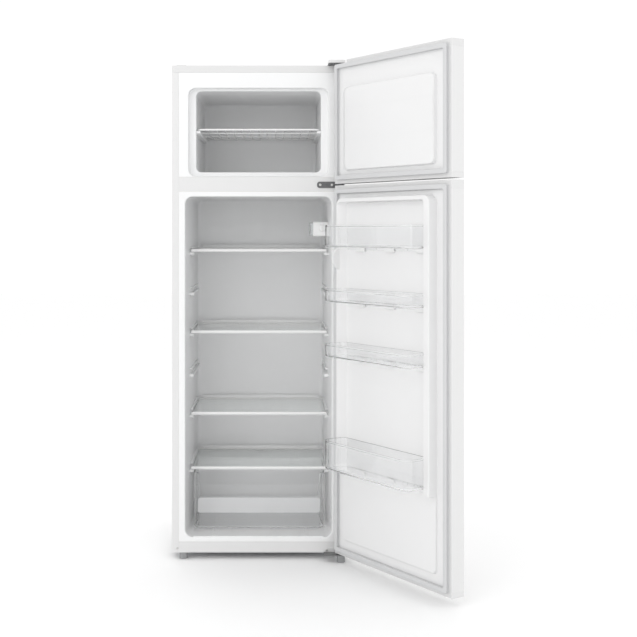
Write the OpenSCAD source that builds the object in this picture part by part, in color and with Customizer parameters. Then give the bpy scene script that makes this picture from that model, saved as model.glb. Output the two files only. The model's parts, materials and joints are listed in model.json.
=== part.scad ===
// Top-freezer refrigerator with both doors standing open. The front faces -Y, +Z is up, and the
// origin is on the floor under the middle of the cabinet. All sizes are in millimetres.

/* [Cabinet] */
// Width of the cabinet and of both doors
body_w = 545; // [545:1:560]
// Depth of the cabinet without the doors
body_d = 500; // [500:1:520]
// Height of the cabinet without its feet
body_h = 1534; // [1534:1:1540]
// Height of the feet and of the rear rollers
foot_h = 22; // [22:1:24]
// Height of the top cover
top_h = 22; // [18:1:26]
// Sheet thickness of the painted panels
sheet = 1; // [0.8:0.1:1]
// Width of the side panels' front returns
front_return = 21; // [18:1:22]

/* [Freezer compartment] */
// Half width of the freezer mouth
fz_mouth_x = 220.5; // [215:0.5:222]
// Lowest point of the freezer mouth
fz_mouth_z0 = 1207; // [1207:1:1210]
// Highest point of the freezer mouth
fz_mouth_z1 = 1485; // [1480:1:1486]
// Depth of the freezer mouth in front of its ledge
fz_ledge = 25; // [20:1:30]
// Half width of the freezer's inside
fz_in_x = 197.5; // [190:0.5:198]
// Depth of the freezer's inside from the front plane
fz_depth = 428; // [400:1:430]
// Height of the wire shelf in the freezer
fz_shelf_z = 1357; // [1340:1:1370]

/* [Fridge compartment] */
// Half width of the fridge mouth
fr_mouth_x = 231; // [230:0.5:232]
// Half width of the fridge's inside
fr_in_x = 222; // [220:0.5:223]
// Highest point of the fridge's inside
fr_z1 = 1143; // [1142:1:1145]
// Floor of the fridge's inside
fr_z0 = 70; // [69:1:70]
// Depth of the fridge's inside from the front plane
fr_depth = 440; // [430:1:440]
// Distance between one shelf level and the next
shelf_pitch = 132; // [130:1:132]
// Height of the highest shelf level
shelf_top_z = 972; // [970:1:972]
// Height of the shelf over the crisper
cover_z = 267; // [266:1:268]
// How far the shelves' front trims stand behind the front plane
shelf_setback = 101; // [98:1:105]

/* [Doors] */
// Angle at which both doors stand open
door_angle = 123; // [90:1:125]
// Thickness of the doors
door_t = 46; // [44:1:46]
// Gap between the cabinet and the doors' inner faces
door_gap = 12; // [12:0.5:14]
// Distance of the hinge axis from the door's side and from its inner face
axis_in = 14; // [14:0.5:15]
// Radius of the doors' outer edge beside the hinges
hinge_edge_r = 16; // [16:1:20]
// Lowest and highest points of the fridge door
fridge_door_z = [27.5, 1176.5];
// Lowest and highest points of the freezer door
freezer_door_z = [1182, 1564.5];
// Height of the raised frame round the fridge door's bins
dyke_h = 27.5; // [24:0.5:27.5]
// Height of the raised panel on the freezer door
plateau_h = 11.5; // [8:0.5:11.5]

/* [Door bins] */
// How far the bins reach from the door's inner face
bin_depth = 92; // [80:1:94]
// Wall thickness of the bins and of the crisper drawer
clear_t = 2.4; // [2:0.1:3]

/* [Hidden] */

// colours
white = [0.93, 0.93, 0.93];
inner_white = [0.86, 0.87, 0.88];
foam_cream = [0.93, 0.87, 0.68];
zinc = [0.72, 0.74, 0.76];
dark_grey = [0.33, 0.34, 0.35];
black = [0.08, 0.08, 0.09];
copper = [0.75, 0.45, 0.3];
clear = [0.85, 0.92, 0.94, 0.45];
glass = [0.72, 0.86, 0.84, 0.5];
grey = [0.62, 0.63, 0.65];

// cabinet outline
side_x = body_w / 2;
front_y = -body_d / 2;
back_y = body_d / 2;
base_z = foot_h;
top_z = foot_h + body_h;
side_top_z = top_z - top_h;
joint_gap = 0.3;
flange_t = 1.5;
liner_t = 2;
foam_gap = 0.4;
corner_steps = 6;
round_fn = 48;
ball_swell = 1.04;

// front frame between the compartments
frame_x = side_x - front_return;
mullion_z = [1159, 1205];
rail_top_z = 56.5;
lip_h = 2.5;
lip_d = 6;
rail_flange_y = front_y + 32;

// freezer inside
fz_in_z0 = fz_mouth_z0 + 14;
fz_in_z1 = fz_mouth_z1 - 7;
fz_ledge_y = front_y + fz_ledge;
fz_back_y = front_y + fz_depth;
fz_mouth_r = 22;
fz_in_r = 17;

// fridge inside
fr_back_y = front_y + fr_depth;
fr_taper_y = front_y + 170;
fr_mouth_r = 24;
hump_y = 57;
hump_z = 258;
shelf_levels = [for (i = [0:4]) shelf_top_z - i * shelf_pitch];
shelf_zs = [shelf_levels[0], shelf_levels[2], shelf_levels[4]];
shelf_y0 = front_y + shelf_setback;
shelf_y1 = fr_back_y - 12;
shelf_x = 219;
trim_h = 9;
rail_in_x = 212;
rail_y1 = 150;
rail_low = 11;
guide_z = [7, 11];
nub_r = 5.4;
fz_rail_drop = 3.6;
fz_rail_h = 9;

// compressor niche
niche_y = 97;
niche_z = 230;
base_plate_z = 24;
comp_x = 60;
comp_y = 172;
comp_r = 66;
comp_top_z = 180;
comp_foot_z = 40;
tray_h = 25;
tray_x = [-32, 150];
tray_y = [112, 236];
tray_r = 14;
drier_xy = [-120, 200];
drier_z = 82;
drier_len = 96;
gland_xy = [-190, 225];
drain_xy = [0, 180];
drain_r = 7;
roller_x = 233.5;
roller_y = 225;
roller_r = 14;
roller_w = 14;
axle_r = 3;
running = 0.05;

// doors, drawn closed and then turned about the hinge axis
door_y1 = front_y - door_gap;
door_y0 = door_y1 - door_t;
axis_x = side_x - axis_in;
axis_y = door_y1 - axis_in;
free_edge_r = 3;
inner_edge_r = 2;
skin_return = 12;
cap_t = 2.5;
pin_r = 4;
bush_r = 6;
bush_len = 12;
boss_r = 8.5;
gasket_in = 11.5;
gasket_w = 14;
gasket_h = door_gap - 0.5;
fridge_cap_h = [16, 26];
freezer_cap_h = [16, 20];
crown_h = 11.5;
crown_x = side_x - 62;
grip_x = [-235, -85];
grip_y = [door_y0 + 7, door_y0 + 30];
grip_depth = [12, 18];
fz_skin_z = [freezer_door_z[0] + freezer_cap_h[0], freezer_door_z[1] - freezer_cap_h[1]];
fr_skin_z = [fridge_door_z[0] + fridge_cap_h[0], fridge_door_z[1] - fridge_cap_h[1]];
fz_hinge_top_z = freezer_door_z[1] - crown_h;
fz_grip_z = [freezer_door_z[0] - 10, freezer_door_z[0] + grip_depth[0]];
fr_grip_z = [fridge_door_z[1] - grip_depth[1], fridge_door_z[1] + 10];

// raised panel on the freezer door, measured from the hinge axis (u) and the inner face (w)
plateau_u = [33, 53, 468, 471];
plateau_z = [1222, 1477];
plateau_r = 18;
crease_z = [1317, 1412];

// raised frame on the fridge door, measured the same way
dyke_z = [296, 1136];
dyke_u = [24, 30, 466, 471];
dyke_r = 24;
window_u = [35, 55, 445];
window_z1 = 1123.5;
window_w = 4;
panel_z = [80, 303];
panel_u0 = 34;
panel_w = 6;
ear_z = 950;
ear_r = 36;
ear_top_w = 49;
bin_z = [986, 820, 653, 312];
bin_h = [67, 39, 40, 88];
bin_u = [46, 443];
bin_back_w = 6.2;
bin_skirt = 9;
hook_x = [-155, -15, 125];
hook_w = 40;

// light and temperature control on the right wall
housing_x0 = fr_in_x - 46;
housing_y = [shelf_y0 + 9, shelf_y0 + 139];
housing_z = [1017, 1065];
knob_at = [fr_in_x - 17, 1044];

// hinge plates
plate_t = 3;
tongue_z = 1177.7;
mid_hinge_x = [184.5, 245.5];
mid_hinge_z = [1170, 1190];
mid_screw_x = [mid_hinge_x[0] + 10, mid_hinge_x[1] - 14];
tongue_root = 9.5;

// ---------- outlines and solids used by several pieces ----------
function arc(c, r, a0, a1, n = corner_steps) =
    [for (i = [0:n]) c + r * [cos(a0 + (a1 - a0) * i / n), sin(a0 + (a1 - a0) * i / n)]];
function rrect(x0, x1, y0, y1, r) = concat(
    arc([x1 - r, y1 - r], r, 0, 90), arc([x0 + r, y1 - r], r, 90, 180),
    arc([x0 + r, y0 + r], r, 180, 270), arc([x1 - r, y0 + r], r, 270, 360));
function door_outline(i) = concat(
    arc([side_x - hinge_edge_r, door_y0 + hinge_edge_r], hinge_edge_r - i, 270, 360),
    arc([side_x - inner_edge_r, door_y1 - inner_edge_r], inner_edge_r - i / 2, 0, 90)
        + [for (k = [0:corner_steps]) [-i / 2, -i / 2]],
    arc([-side_x + inner_edge_r, door_y1 - inner_edge_r], inner_edge_r - i / 2, 90, 180)
        + [for (k = [0:corner_steps]) [i / 2, -i / 2]],
    arc([-side_x + free_edge_r, door_y0 + free_edge_r], free_edge_r - i, 180, 270));
function door_point(u, w) = [axis_x - u, door_y1 + w];

module box(x, y, z) {
    translate([x[0], y[0], z[0]])
        cube([x[1] - x[0], y[1] - y[0], z[1] - z[0]]);
}

module x_prism(outline, x) {
    translate([x[0], 0, 0])
        rotate([90, 0, 90])
            linear_extrude(x[1] - x[0])
                polygon(outline);
}

module y_prism(outline, y) {
    translate([0, y[1], 0])
        rotate([90, 0, 0])
            linear_extrude(y[1] - y[0])
                polygon(outline);
}

module z_prism(outline, z) {
    translate([0, 0, z[0]])
        linear_extrude(z[1] - z[0])
            polygon(outline);
}

module rod(a, b, r) {
    v = b - a;
    translate(a)
        rotate([0, acos(v[2] / norm(v)), atan2(v[1], v[0])])
            cylinder(h = norm(v), r = r, $fn = 24);
}

module pipe(points, r) {
    for (i = [0:len(points) - 2])
        rod(points[i], points[i + 1], r);
    for (i = [1:len(points) - 2])
        translate(points[i])
            sphere(r * ball_swell, $fn = 24);
}

module screw(at, direction, head_r = 4, shank = 8) {
    rod(at, at + direction * 2.2, head_r);
    rod(at - direction * shank, at + direction * 0.5, head_r * 0.45);
}

module door_pose() {
    translate([axis_x, axis_y, 0])
        rotate([0, 0, door_angle])
            translate([-axis_x, -axis_y, 0])
                children();
}

// ---------- cabinet shell ----------
module side_panel() {
    color(white) {
        box([side_x - sheet, side_x], [front_y, back_y], [base_z, side_top_z]);
        box([frame_x, side_x], [front_y, front_y + sheet], [base_z, side_top_z]);
        box([side_x - 15, side_x], [back_y - sheet, back_y], [base_z, side_top_z]);
    }
}

module side_panel_left() {
    mirror([1, 0, 0])
        side_panel();
}

module side_panel_right() {
    side_panel();
}

module top_cover() {
    wall = 2.5;
    color(white)
        difference() {
            z_prism(rrect(-side_x, side_x, front_y, back_y, 4), [side_top_z, top_z]);
            box([-side_x + wall, side_x - wall], [front_y + wall, back_y - wall],
                [side_top_z - 1, top_z - wall]);
        }
}

module back_panel() {
    color(zinc)
        difference() {
            union() {
                x_prism([[back_y, side_top_z - 0.5], [back_y, niche_z], [back_y - sheet, niche_z],
                    [back_y - sheet, side_top_z - 0.5]], [-side_x + 15.1, side_x - 15.1]);
                x_prism([[back_y - sheet, niche_z], [niche_y, niche_z], [niche_y, base_z],
                    [rail_flange_y + 1, base_z], [rail_flange_y + 1, base_z + sheet],
                    [niche_y - sheet, base_z + sheet], [niche_y - sheet, niche_z + sheet],
                    [back_y - sheet, niche_z + sheet]], [-side_x + 1.1, side_x - 1.1]);
                for (i = [-2:2])
                    box([i * 95 - 30, i * 95 + 30], [back_y - sheet, back_y + 2], [330, 1430]);
            }
            translate([drain_xy[0], drain_xy[1], niche_z - 1])
                cylinder(h = 4, r = drain_r + 0.3, $fn = round_fn);
        }
}

module mullion_cover() {
    color(white)
        box([-frame_x, frame_x], [front_y, front_y + sheet], mullion_z);
}

module bottom_rail() {
    foot = [-side_x + 35, front_y + 15];
    color(white)
        difference() {
            union() {
                box([-frame_x, frame_x], [front_y, front_y + sheet], [base_z, rail_top_z]);
                box([-side_x + 1.1, side_x - 1.1], [front_y + sheet, rail_flange_y],
                    [base_z, base_z + sheet]);
                translate([foot[0], foot[1], base_z])
                    cylinder(h = 10, r = 8, $fn = round_fn);
            }
            translate([foot[0], foot[1], base_z - 1])
                cylinder(h = 12, r = pin_r + running, $fn = round_fn);
        }
}

// ---------- insulated inside of the cabinet ----------
module freezer_space(i) {
    y_prism(rrect(-fz_mouth_x - i, fz_mouth_x + i, fz_mouth_z0 - i, fz_mouth_z1 + i, fz_mouth_r + i),
        [front_y - 1, fz_ledge_y + i]);
    y_prism(rrect(-fz_in_x - i, fz_in_x + i, fz_in_z0 - i, fz_in_z1 + i, fz_in_r + i),
        [front_y - 1, fz_back_y + i]);
}

module fridge_space(i) {
    plan = [[-fr_mouth_x - i, front_y - 1], [fr_mouth_x + i, front_y - 1], [fr_in_x + i, fr_taper_y],
        [fr_in_x + i, fr_back_y + i], [-fr_in_x - i, fr_back_y + i], [-fr_in_x - i, fr_taper_y]];
    difference() {
        intersection() {
            z_prism(plan, [fr_z0 - i, fr_z1 + i]);
            y_prism(rrect(-fr_mouth_x - i, fr_mouth_x + i, fr_z0 - i, fr_z1 + i, fr_mouth_r + i),
                [front_y - 2, back_y]);
        }
        box([-side_x, side_x], [hump_y + i, back_y], [0, hump_z - i]);
    }
}

module freezer_liner() {
    rail_z = fz_shelf_z - fz_rail_drop;
    wedge = [[fz_ledge_y + 8, rail_z], [fz_back_y - 15, rail_z], [fz_back_y - 15, rail_z - fz_rail_h],
        [fz_ledge_y + 30, rail_z - fz_rail_h], [fz_ledge_y + 8, rail_z - 4]];
    color(inner_white) {
        difference() {
            union() {
                box([-frame_x + 0.2, frame_x - 0.2], [front_y, front_y + flange_t],
                    [mullion_z[1] + 0.2, side_top_z - 0.2]);
                intersection() {
                    freezer_space(liner_t);
                    box([-side_x, side_x], [front_y, back_y], [0, top_z]);
                }
            }
            freezer_space(0);
        }
        for (s = [0, 1])
            mirror([s, 0, 0])
                x_prism(wedge, [fz_in_x - 12, fz_in_x + 1]);
    }
}

module shelf_rail(z) {
    nub = [shelf_y0 + 8, z - rail_low + 0.5];
    box([rail_in_x, fr_mouth_x], [shelf_y0 + 9, rail_y1], [z - rail_low, z - trim_h / 2 - joint_gap]);
    box([fr_in_x - 6, fr_mouth_x], [shelf_y0 + 29, rail_y1], [z + guide_z[0], z + guide_z[1]]);
    rod([rail_in_x - 0.5, nub[0], nub[1]], [fr_mouth_x, nub[0], nub[1]], nub_r);
}

module fridge_liner() {
    color(inner_white)
        difference() {
            union() {
                difference() {
                    union() {
                        box([-frame_x + 0.2, frame_x - 0.2], [front_y, front_y + flange_t],
                            [rail_top_z + 0.2, mullion_z[0] - 0.2]);
                        intersection() {
                            fridge_space(liner_t);
                            box([-side_x, side_x], [front_y, back_y], [0, top_z]);
                        }
                    }
                    fridge_space(0);
                }
                intersection() {
                    fridge_space(1);
                    union() {
                        for (z = concat(shelf_levels, [cover_z]), s = [0, 1])
                            mirror([s, 0, 0])
                                shelf_rail(z);
                        box([-side_x, side_x], [front_y, front_y + lip_d], [0, fr_z0 + lip_h]);
                        for (s = [-1, 1])
                            box([s * 150 - 5, s * 150 + 5], [front_y + 2, hump_y + 1],
                                [0, fr_z0 + lip_h + 0.1]);
                    }
                }
            }
            translate([drain_xy[0], drain_xy[1], hump_z - 5])
                cylinder(h = 8, r = drain_r + 0.3, $fn = round_fn);
        }
}

module body_foam() {
    skin_gap = 6.5;
    coil_x = 192;
    coil_room = 13;
    color(foam_cream)
        difference() {
            union() {
                box([-side_x + skin_gap, side_x - skin_gap], [front_y + 2, back_y - 1.4],
                    [base_z + 1.5, side_top_z]);
                box([-side_x + 3, side_x - 3], [front_y + 3, back_y - 3],
                    [side_top_z - 0.1, top_z - 3]);
            }
            box([-side_x, side_x], [niche_y - 1.4, back_y], [0, niche_z + 1.4]);
            freezer_space(liner_t + foam_gap);
            fridge_space(liner_t + foam_gap);
            translate([drain_xy[0], drain_xy[1], niche_z])
                cylinder(h = 40, r = drain_r + 0.5, $fn = round_fn);
            translate([-side_x + 35, front_y + 15, 0])
                cylinder(h = 45, r = 9, $fn = round_fn);
            box([-coil_x, coil_x], [fr_back_y, fr_back_y + coil_room], [430, 1050]);
            box([-coil_x, coil_x], [-205, 165], [fz_in_z0 - coil_room, fz_in_z0]);
        }
}

// A serpentine of n runs, each as long as run, a pitch apart
function serpentine(n, run, pitch) =
    [for (i = [0:n - 1], k = [0, 1]) [(i % 2 == k ? -1 : 1) * run / 2, i * pitch]];

module foamed_pipework() {
    color(copper) {
        pipe([for (p = serpentine(9, 350, 65)) [p[0], fr_back_y + 7, 480 + p[1]]], 4);
        pipe([for (p = serpentine(8, 350, 45)) [p[0], p[1] - 180, fz_in_z0 - 7.5]], 4);
        for (s = [-1, 1])
            pipe([for (p = serpentine(6, 1100, 80)) [s * (side_x - 3.6), p[1] - 200, 860 + p[0]]], 2.2);
    }
}

// ---------- compressor niche ----------
module compressor_base() {
    ear = [[roller_y - 13, base_plate_z], [roller_y - 6, 8], [roller_y + 6, 8],
        [roller_y + 13, base_plate_z]];
    color(zinc)
        difference() {
            union() {
                box([-side_x + 12, side_x - 12], [niche_y + 4, back_y - 4],
                    [base_plate_z, base_plate_z + 2]);
                box([-side_x + 12, side_x - 12], [niche_y + 4, niche_y + 6],
                    [base_plate_z, base_plate_z + 14]);
                box([-side_x + 12, side_x - 12], [back_y - 6, back_y - 4],
                    [base_plate_z, base_plate_z + 14]);
                for (s = [-1, 1], k = [-1, 1])
                    x_prism(ear, [s * roller_x + k * (roller_w / 2 + 2.5) - 1,
                        s * roller_x + k * (roller_w / 2 + 2.5) + 1]);
            }
            for (s = [-1, 1])
                box([s * roller_x - roller_w / 2 - 1, s * roller_x + roller_w / 2 + 1],
                    [roller_y - roller_r - 1.5, roller_y + roller_r + 1.5],
                    [base_plate_z - 1, base_plate_z + 3]);
            for (s = [-1, 1])
                translate([s * roller_x - 20, roller_y, roller_r])
                    rotate([0, 90, 0])
                        cylinder(h = 40, r = axle_r + 0.1, $fn = round_fn);
            for (sx = [-1, 1], sy = [-1, 1])
                translate([comp_x + sx * 80, comp_y + sy * 36, base_plate_z - 1])
                    cylinder(h = 4, r = 3.3, $fn = round_fn);
        }
}

module compressor() {
    dome = concat([[0, comp_foot_z + 3]],
        [for (a = [-80:10:0]) [comp_r * cos(a), 102 + (102 - comp_foot_z - 3) * sin(a)]],
        [[comp_r + 4, 102], [comp_r + 4, 107], [comp_r, 107]],
        [for (a = [10:10:70]) [comp_r * cos(a), 107 + (comp_top_z + 4 - 107) * sin(a)]],
        [[20, comp_top_z], [0, comp_top_z]]);
    color(black)
        difference() {
            union() {
                translate([comp_x, comp_y, 0])
                    rotate_extrude($fn = 64)
                        polygon(dome);
                box([comp_x - 92, comp_x + 92], [comp_y - 48, comp_y + 48],
                    [comp_foot_z, comp_foot_z + 3.2]);
            }
            for (sx = [-1, 1], sy = [-1, 1])
                translate([comp_x + sx * 80, comp_y + sy * 36, comp_foot_z - 1])
                    cylinder(h = 6, r = 7, $fn = round_fn);
        }
}

module compressor_grommets() {
    profile = [[3.3, 0], [11, 0], [11, 12], [6.6, 13.7], [6.6, 18], [9.5, 18.4], [9.5, 21], [3.3, 21]];
    color(black)
        for (sx = [-1, 1], sy = [-1, 1])
            translate([comp_x + sx * 80, comp_y + sy * 36, base_plate_z + 2])
                rotate_extrude($fn = round_fn)
                    polygon(profile);
}

module start_relay_cover() {
    color(black)
        difference() {
            z_prism(rrect(-42, 4, comp_y - 27, comp_y + 27, 6), [68, 138]);
            translate([comp_x, comp_y, 60])
                cylinder(h = 90, r = comp_r + 4.3, $fn = 64);
        }
}

module evaporation_tray() {
    wall = 2;
    color(grey)
        difference() {
            z_prism(rrect(tray_x[0], tray_x[1], tray_y[0], tray_y[1], tray_r),
                [comp_top_z, comp_top_z + tray_h]);
            z_prism(rrect(tray_x[0] + wall, tray_x[1] - wall, tray_y[0] + wall, tray_y[1] - wall,
                tray_r - wall),
                [comp_top_z + wall, comp_top_z + tray_h + 1]);
        }
}

module compressor_pipes() {
    up_z = niche_z - 0.5;
    dx = drier_xy[0];
    dy = drier_xy[1];
    low_z = drier_z - 16;
    color(copper) {
        pipe([[comp_x + comp_r - 2, comp_y + 12, 84], [comp_x + 110, comp_y + 12, 84],
            [comp_x + 110, comp_y + 40, 84], [comp_x + 110, comp_y + 40, up_z]], 3);
        pipe([[comp_x + comp_r - 1, comp_y - 14, 92], [comp_x + 128, comp_y - 14, 92],
            [comp_x + 128, comp_y - 14, up_z]], 4);
        pipe([[comp_x + comp_r - 4, comp_y - 30, 72], [comp_x + 100, comp_y - 30, 72],
            [comp_x + 100, comp_y - 30, 120]], 3);
        pipe([[dx, dy, drier_z + drier_len + 0.5], [dx, dy, up_z]], 2.5);
        pipe([[dx, dy, drier_z - 0.5], [dx, dy, low_z], [dx - 30, dy, low_z], [dx - 30, dy, up_z]], 1.6);
    }
}

module filter_drier() {
    profile = [[0, 0], [3.5, 0], [3.5, 6], [9, 14], [9, drier_len - 18], [3.5, drier_len - 6],
        [3.5, drier_len], [0, drier_len]];
    color(copper)
        translate([drier_xy[0], drier_xy[1], drier_z])
            rotate_extrude($fn = round_fn)
                polygon(profile);
}

module drain_tube() {
    low_z = comp_top_z + 14;
    color(grey)
        translate([drain_xy[0], drain_xy[1], low_z])
            difference() {
                union() {
                    cylinder(h = hump_z - low_z, r = drain_r, $fn = round_fn);
                    translate([0, 0, hump_z - low_z + 0.1])
                        cylinder(h = 1.5, r = drain_r + 3, $fn = round_fn);
                    translate([0, 0, hump_z - low_z - 0.5])
                        cylinder(h = 1, r = drain_r, $fn = round_fn);
                }
                translate([0, 0, -1])
                    cylinder(h = 120, r = drain_r - 2, $fn = round_fn);
            }
}

module cord_gland() {
    profile = [[4, 0], [7, 0], [9, 21], [13, 21], [13, 24.8], [4, 24.8]];
    color(black)
        translate([gland_xy[0], gland_xy[1], niche_z - 25])
            rotate_extrude($fn = round_fn)
                polygon(profile);
}

// ---------- hinges, pins and small cabinet pieces ----------
module top_hinge() {
    color(dark_grey)
        difference() {
            z_prism(rrect(side_x - 54, side_x - 2.5, axis_y - 13, front_y + 47, 8),
                [top_z, top_z + plate_t]);
            translate([axis_x, axis_y, top_z - 1])
                cylinder(h = plate_t + 2, r = pin_r + 0.1, $fn = round_fn);
            for (k = [0, 1])
                translate([side_x - 40 + k * 24, front_y + 32, top_z - 1])
                    cylinder(h = plate_t + 2, r = 2.6, $fn = round_fn);
        }
}

module middle_hinge() {
    z_mid = (mid_hinge_z[0] + mid_hinge_z[1]) / 2;
    end_r = (mid_hinge_z[1] - mid_hinge_z[0]) / 2;
    tongue = concat([[mid_hinge_x[1] - tongue_root, front_y - 0.5], [mid_hinge_x[1], front_y - 0.5]],
        arc([axis_x, axis_y], 9, 20, -130));
    color(dark_grey)
        difference() {
            union() {
                y_prism(rrect(mid_hinge_x[0], mid_hinge_x[1], mid_hinge_z[0], mid_hinge_z[1],
                    end_r - 2), [front_y - 2.5, front_y]);
                z_prism(tongue, [tongue_z, tongue_z + plate_t]);
            }
            translate([axis_x, axis_y, tongue_z - 1])
                cylinder(h = plate_t + 2, r = pin_r + 0.1, $fn = round_fn);
            for (x = mid_screw_x)
                translate([x, front_y - 4, z_mid])
                    rotate([-90, 0, 0])
                        cylinder(h = 6, r = 2.4, $fn = round_fn);
        }
}

module bottom_hinge() {
    color(dark_grey)
        difference() {
            union() {
                z_prism(rrect(side_x - 68, side_x - 1, axis_y - 15, front_y - 0.1, 6),
                    [base_z, base_z + plate_t]);
                box([side_x - 68, side_x - 18], [front_y - 3, front_y - 0.1], [base_z + 1, base_z + 15]);
            }
            translate([axis_x, axis_y, base_z - 1])
                cylinder(h = plate_t + 2, r = pin_r + running, $fn = round_fn);
            for (k = [0, 1])
                translate([side_x - 58 + k * 28, front_y - 4, base_z + 9])
                    rotate([-90, 0, 0])
                        cylinder(h = 6, r = 2.4, $fn = round_fn);
        }
}

module pivot_pins() {
    bush_in = bush_len - 1;
    color(zinc) {
        translate([axis_x, axis_y, 0]) {
            translate([0, 0, freezer_door_z[1] - crown_h - bush_in])
                cylinder(h = top_z + plate_t + 0.2 - freezer_door_z[1] + crown_h + bush_in, r = pin_r,
                    $fn = round_fn);
            translate([0, 0, top_z + plate_t + 0.1])
                cylinder(h = 1.6, r = pin_r + 2, $fn = round_fn);
            translate([0, 0, fridge_door_z[1] - bush_in])
                cylinder(h = freezer_door_z[0] - fridge_door_z[1] + 2 * bush_in, r = pin_r,
                    $fn = round_fn);
            translate([0, 0, base_z + 1.6])
                cylinder(h = fridge_door_z[0] + bush_in - base_z - 1.6, r = pin_r, $fn = round_fn);
        }
        for (s = [-1, 1])
            translate([s * roller_x - 12.5, roller_y, roller_r])
                rotate([0, 90, 0])
                    cylinder(h = 25, r = axle_r, $fn = round_fn);
    }
}

module fasteners() {
    z_mid = (mid_hinge_z[0] + mid_hinge_z[1]) / 2;
    out = [0, -1, 0];
    color(zinc) {
        for (x = mid_screw_x)
            screw([x, front_y - 2.5, z_mid], out, 4, 2.4);
        for (k = [0, 1])
            screw([side_x - 58 + k * 28, front_y - 3, base_z + 9], out, 4, 2.8);
        for (k = [0, 1])
            screw([side_x - 40 + k * 24, front_y + 32, top_z + plate_t], [0, 0, 1], 4.5, 2.8);
        screw([-frame_x - 4, front_y, base_z + 13.5], out, 3.4, 0);
        for (sx = [-1, 1], sy = [-1, 1])
            screw([comp_x + sx * 80, comp_y + sy * 36, base_plate_z + 23], [0, 0, 1], 6, 25);
        for (s = [-1, 1], k = [0:4])
            screw([s * (side_x - 22), back_y, 300 + k * 285], [0, 1, 0], 3.6, 0);
    }
}

module top_hinge_cover() {
    outline = rrect(side_x - 54, side_x - 0.5, axis_y - 15, front_y + 49, 9);
    inside = rrect(side_x - 52, side_x - 2.5, axis_y - 13, front_y + 47, 7.5);
    color(white)
        difference() {
            z_prism(outline, [top_z + plate_t + 0.1, top_z + 12.5]);
            z_prism(inside, [top_z + plate_t - 1, top_z + 10.5]);
        }
}

module hole_plugs() {
    plug_t = 0.35;
    color(white) {
        z_prism(rrect(-side_x + 13, -side_x + 44, front_y + 6, front_y + 22, 4), [top_z, top_z + 2.2]);
        translate([-frame_x + 2.5, front_y, rail_top_z - 2.5])
            rotate([90, 0, 0])
                cylinder(h = plug_t, r = 2, $fn = 24);
    }
}

// ---------- light and temperature control ----------
module housing_form(t) {
    intersection() {
        x_prism(rrect(housing_y[0] + t, housing_y[1] - t, housing_z[0] + t, housing_z[1] - t, 7 - t),
            [housing_x0 + t, fr_mouth_x]);
        fridge_space(-joint_gap);
    }
}

module control_housing() {
    wall = 2.2;
    color(white)
        difference() {
            housing_form(0);
            housing_form(wall);
            box([housing_x0 - 1, housing_x0 + 4], [housing_y[0] + 18, housing_y[1] - 12],
                [housing_z[0] + 9, housing_z[1] - 9]);
            translate([knob_at[0], housing_y[0] - 1, knob_at[1]])
                rotate([-90, 0, 0])
                    cylinder(h = 6, r = 3 + running, $fn = round_fn);
        }
}

module lamp_lens() {
    y = [housing_y[0] + 6, housing_y[1] - 6];
    z = [housing_z[0] + 3, housing_z[1] - 3];
    color(clear)
        difference() {
            x_prism(rrect(y[0], y[1], z[0], z[1], 5), [housing_x0 - 9, housing_x0]);
            x_prism(rrect(y[0] + 1.8, y[1] - 1.8, z[0] + 1.8, z[1] - 1.8, 3.6),
                [housing_x0 - 7.2, housing_x0 + 1]);
        }
}

module lamp_board() {
    y = [housing_y[0] + 22, housing_y[1] - 16];
    z_mid = (housing_z[0] + housing_z[1]) / 2;
    color([0.2, 0.45, 0.3])
        box([housing_x0 + 5, housing_x0 + 6.6], y, [housing_z[0] + 8, housing_z[1] - 8]);
    color([1, 0.95, 0.8])
        for (k = [0:3])
            box([housing_x0 + 2.5, housing_x0 + 5], [y[0] + 12 + k * 20, y[0] + 17 + k * 20],
                [z_mid - 2.5, z_mid + 2.5]);
}

module thermostat_knob() {
    profile = [[0, 0], [3, 0], [3, 12.5], [11, 12.5], [11, 18], [10, 19.5], [0, 19.5]];
    color(white)
        translate([knob_at[0], housing_y[0] + 12, knob_at[1]])
            rotate([90, 0, 0]) {
                rotate_extrude($fn = round_fn)
                    polygon(profile);
                translate([-1.5, -9, 18])
                    cube([3, 18, 4]);
            }
}

// ---------- feet and rollers ----------
module foot() {
    profile = [[0, 0], [12.5, 0], [13.5, 1.5], [12.4, 17], [14, 17.5], [14, 21.5], [pin_r, 21.5],
        [pin_r, 23.3], [0, 23.3]];
    color(grey)
        rotate_extrude($fn = round_fn)
            polygon(profile);
}

module left_foot() {
    translate([-side_x + 35, front_y + 15, 0]) {
        foot();
        color(grey)
            translate([0, 0, 23])
                cylinder(h = 14, r = pin_r, $fn = round_fn);
    }
}

module right_foot() {
    translate([axis_x, axis_y, 0])
        foot();
}

module roller(s) {
    half = roller_w / 2;
    profile = [[axle_r + running, -half], [roller_r - 1.5, -half], [roller_r, -half + 1.5],
        [roller_r, half - 1.5], [roller_r - 1.5, half], [axle_r + running, half]];
    color(grey)
        translate([s * roller_x, roller_y, roller_r])
            rotate([0, 90, 0])
                rotate_extrude($fn = 64)
                    polygon(profile);
}

// ---------- shelves and crisper ----------
module freezer_shelf() {
    x = fz_in_x - 6;
    y0 = fz_ledge_y + 12;
    y1 = fz_back_y - 8;
    z = fz_shelf_z;
    wires = 13;
    color(white) {
        for (s = [-1, 1])
            rod([s * x, y0, z], [s * x, y1, z], 3);
        for (y = [y0, y1])
            rod([-x - 0.5, y, z], [x + 0.5, y, z], 3.2);
        for (k = [1, 2])
            rod([-x, y0 + k * (y1 - y0) / 3, z - 1], [x, y0 + k * (y1 - y0) / 3, z - 1], 2.2);
        for (i = [1:wires])
            rod([-x + i * 2 * x / (wires + 1), y0, z + 1.2], [-x + i * 2 * x / (wires + 1), y1, z + 1.2],
                1.5);
    }
}

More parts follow.
